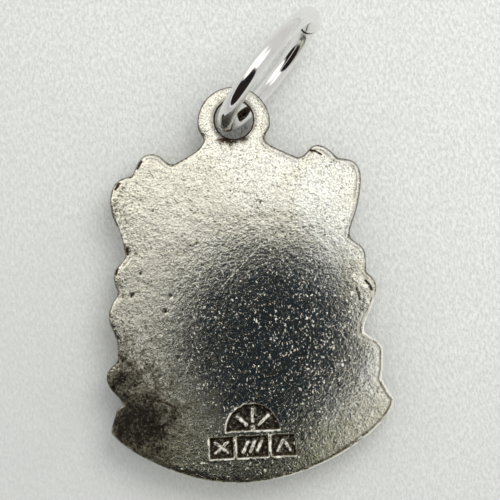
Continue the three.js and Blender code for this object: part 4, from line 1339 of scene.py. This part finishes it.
class CHARM_OT_stage(bpy.types.Operator):
    """Lays the floor, sets the lights and aims the camera"""

    bl_idname = "charm.stage"
    bl_label = "Stage"

    def execute(self, context):
        s = context.scene.charm_stage
        bm = bmesh.new()
        bmesh.ops.create_grid(bm, x_segments=1, y_segments=1, size=FLOOR_REACH * MM)
        bmesh.ops.translate(bm, verts=bm.verts, vec=(0, 0, -FLOOR_DROP * MM))
        floor = put_in_scene("floor", mesh_from(bm, "floor"))
        floor.data.materials.append(floor_finish(tuple(s.floor)))
        self.sky(context, s)
        self.lamp(s)
        for card in CARDS:
            self.card(*card)
        self.camera(context, s)
        return {"FINISHED"}

    def sky(self, context, s):
        """White to the camera, and bright by height over the horizon to everything else."""
        world = bpy.data.worlds.new("studio")
        context.scene.world = world
        world.use_nodes = True
        nodes, links = world.node_tree.nodes, world.node_tree.links
        background = nodes["Background"]
        background.inputs["Color"].default_value = (*SKY_COLOUR, 1)
        way = nodes.new("ShaderNodeSeparateXYZ")
        links.new(nodes.new("ShaderNodeTexCoord").outputs["Generated"], way.inputs["Vector"])
        total = nodes.new("ShaderNodeMath")
        parts = (*OVERHEAD_HEIGHTS, s.sky_side, s.sky), (*HORIZON_HEIGHTS, 0, s.horizon)
        for values, part in zip(parts, total.inputs):
            node = nodes.new("ShaderNodeMapRange")
            node.interpolation_type = "SMOOTHSTEP"
            for name, value in zip(("From Min", "From Max", "To Min", "To Max"), values):
                node.inputs[name].default_value = value
            links.new(way.outputs["Z"], node.inputs["Value"])
            links.new(node.outputs["Result"], part)
        strength = nodes.new("ShaderNodeMapRange")
        strength.inputs["To Max"].default_value = 1
        links.new(total.outputs["Value"], strength.inputs["To Min"])
        links.new(nodes.new("ShaderNodeLightPath").outputs["Is Camera Ray"], strength.inputs["Value"])
        links.new(strength.outputs["Result"], background.inputs["Strength"])

    def lamp(self, s):
        """A soft lamp at the upper right, which isn't mirrored in the metal."""
        light = bpy.data.lights.new("window", "AREA")
        light.shape = "DISK"
        light.size = LAMP_WIDTH * MM
        light.energy = s.window
        light.color = LAMP_COLOUR
        lamp = put_in_scene("window", light)
        lamp.location = Vector(LAMP_PLACE) * MM
        lamp.rotation_mode = "QUATERNION"
        lamp.rotation_quaternion = (-lamp.location).to_track_quat("-Z", "Y")
        lamp.visible_glossy = False

    def card(self, name, centre, radii, cover, soft, steep, glow):
        """A dark or glowing card with a soft edge, seen only in reflections."""
        bm = bmesh.new()
        bmesh.ops.create_grid(bm, x_segments=32, y_segments=32, size=1)
        from_middle = np.array([v.co.xy.length for v in bm.verts])
        bmesh.ops.scale(bm, verts=bm.verts, vec=(*radii, 1))
        if not steep:
            turn = (-Vector(centre)).to_track_quat("Z", "Y").to_matrix()
            bmesh.ops.rotate(bm, verts=bm.verts, cent=(0, 0, 0), matrix=turn)
        bmesh.ops.translate(bm, verts=bm.verts, vec=centre)
        bmesh.ops.scale(bm, verts=bm.verts, vec=(MM, MM, MM))
        card = put_in_scene(name, mesh_from(bm, name))
        attribute(card.data, "cover", cover * smoothstep(1, soft, from_middle))
        f = Finish(name)
        seen = f.painted("cover")
        if steep:
            slant = f.nodes.new("ShaderNodeLayerWeight")
            seen = f.times(seen, f.span(slant.outputs["Facing"], *LOUVRE))
        f.sheen_of(
            Base_Color=STEEP_CARD_COLOUR if steep else LOW_CARD_COLOUR, Roughness=1.0, Alpha=seen,
            Specular_IOR_Level=0.0, Emission_Color=(1, 0.99, 0.96), Emission_Strength=glow,
        )
        card.data.materials.append(f.material)
        card.visible_camera = card.visible_shadow = False
        card.visible_diffuse = card.visible_transmission = False

    def camera(self, context, s):
        """Looks straight down on the back."""
        data = bpy.data.cameras.new("camera")
        data.sensor_width = SENSOR_WIDTH
        data.lens = SENSOR_WIDTH * s.camera_height / s.view_width
        data.clip_start, data.clip_end = CLIP_START * MM, CLIP_END * MM
        camera = put_in_scene("camera", data)
        up = Vector((math.sin(s.camera_turn), math.cos(s.camera_turn), 0))
        right = Vector((up.y, -up.x, 0))
        turned = Matrix((right, up, Vector((0, 0, 1)))).transposed().to_4x4()
        place = Vector((*VIEW_MIDDLE, BACK_Z)) * MM + Vector((0, 0, s.camera_height))
        camera.matrix_world = Matrix.Translation(place) @ turned
        context.scene.camera = camera
        context.scene.view_settings.view_transform = "Standard"


class CHARM_PT_panel(bpy.types.Panel):
    """Lists the pieces of the charm and what can be changed on each"""

    bl_idname = "CHARM_PT_panel"
    bl_label = "Crest charm"
    bl_space_type = "VIEW_3D"
    bl_region_type = "UI"
    bl_category = "Charm"

    def draw(self, context):
        for group, _, operator in PARTS:
            box = self.layout.box()
            settings = getattr(context.scene, group)
            for name in settings.bl_rna.properties.keys():
                if name not in ("rna_type", "name"):
                    box.prop(settings, name)
            box.operator(operator.bl_idname)


# The settings' name on the scene, their class and the operator that uses them, in the order of making.
PARTS = [
    ("charm_casting", CastingSettings, CHARM_OT_casting),
    ("charm_ring", RingSettings, CHARM_OT_ring),
    ("charm_enamel", EnamelSettings, CHARM_OT_enamel),
    ("charm_stage", StageSettings, CHARM_OT_stage),
]
CLASSES = [each for _, *pair in PARTS for each in pair] + [CHARM_PT_panel]


def register():
    """Registers the classes and adds their settings to the scene."""
    for each in CLASSES:
        bpy.utils.register_class(each)
    for name, group, _ in PARTS:
        setattr(bpy.types.Scene, name, PointerProperty(type=group))


def unregister():
    """Takes the settings and the classes away again."""
    for name, _, _ in PARTS:
        delattr(bpy.types.Scene, name)
    for each in reversed(CLASSES):
        bpy.utils.unregister_class(each)


def main():
    """Builds every piece and the stage."""
    register()
    bpy.ops.charm.casting()
    bpy.ops.charm.ring()
    bpy.ops.charm.enamel()
    bpy.ops.charm.stage()


if __name__ == "__main__":
    main()
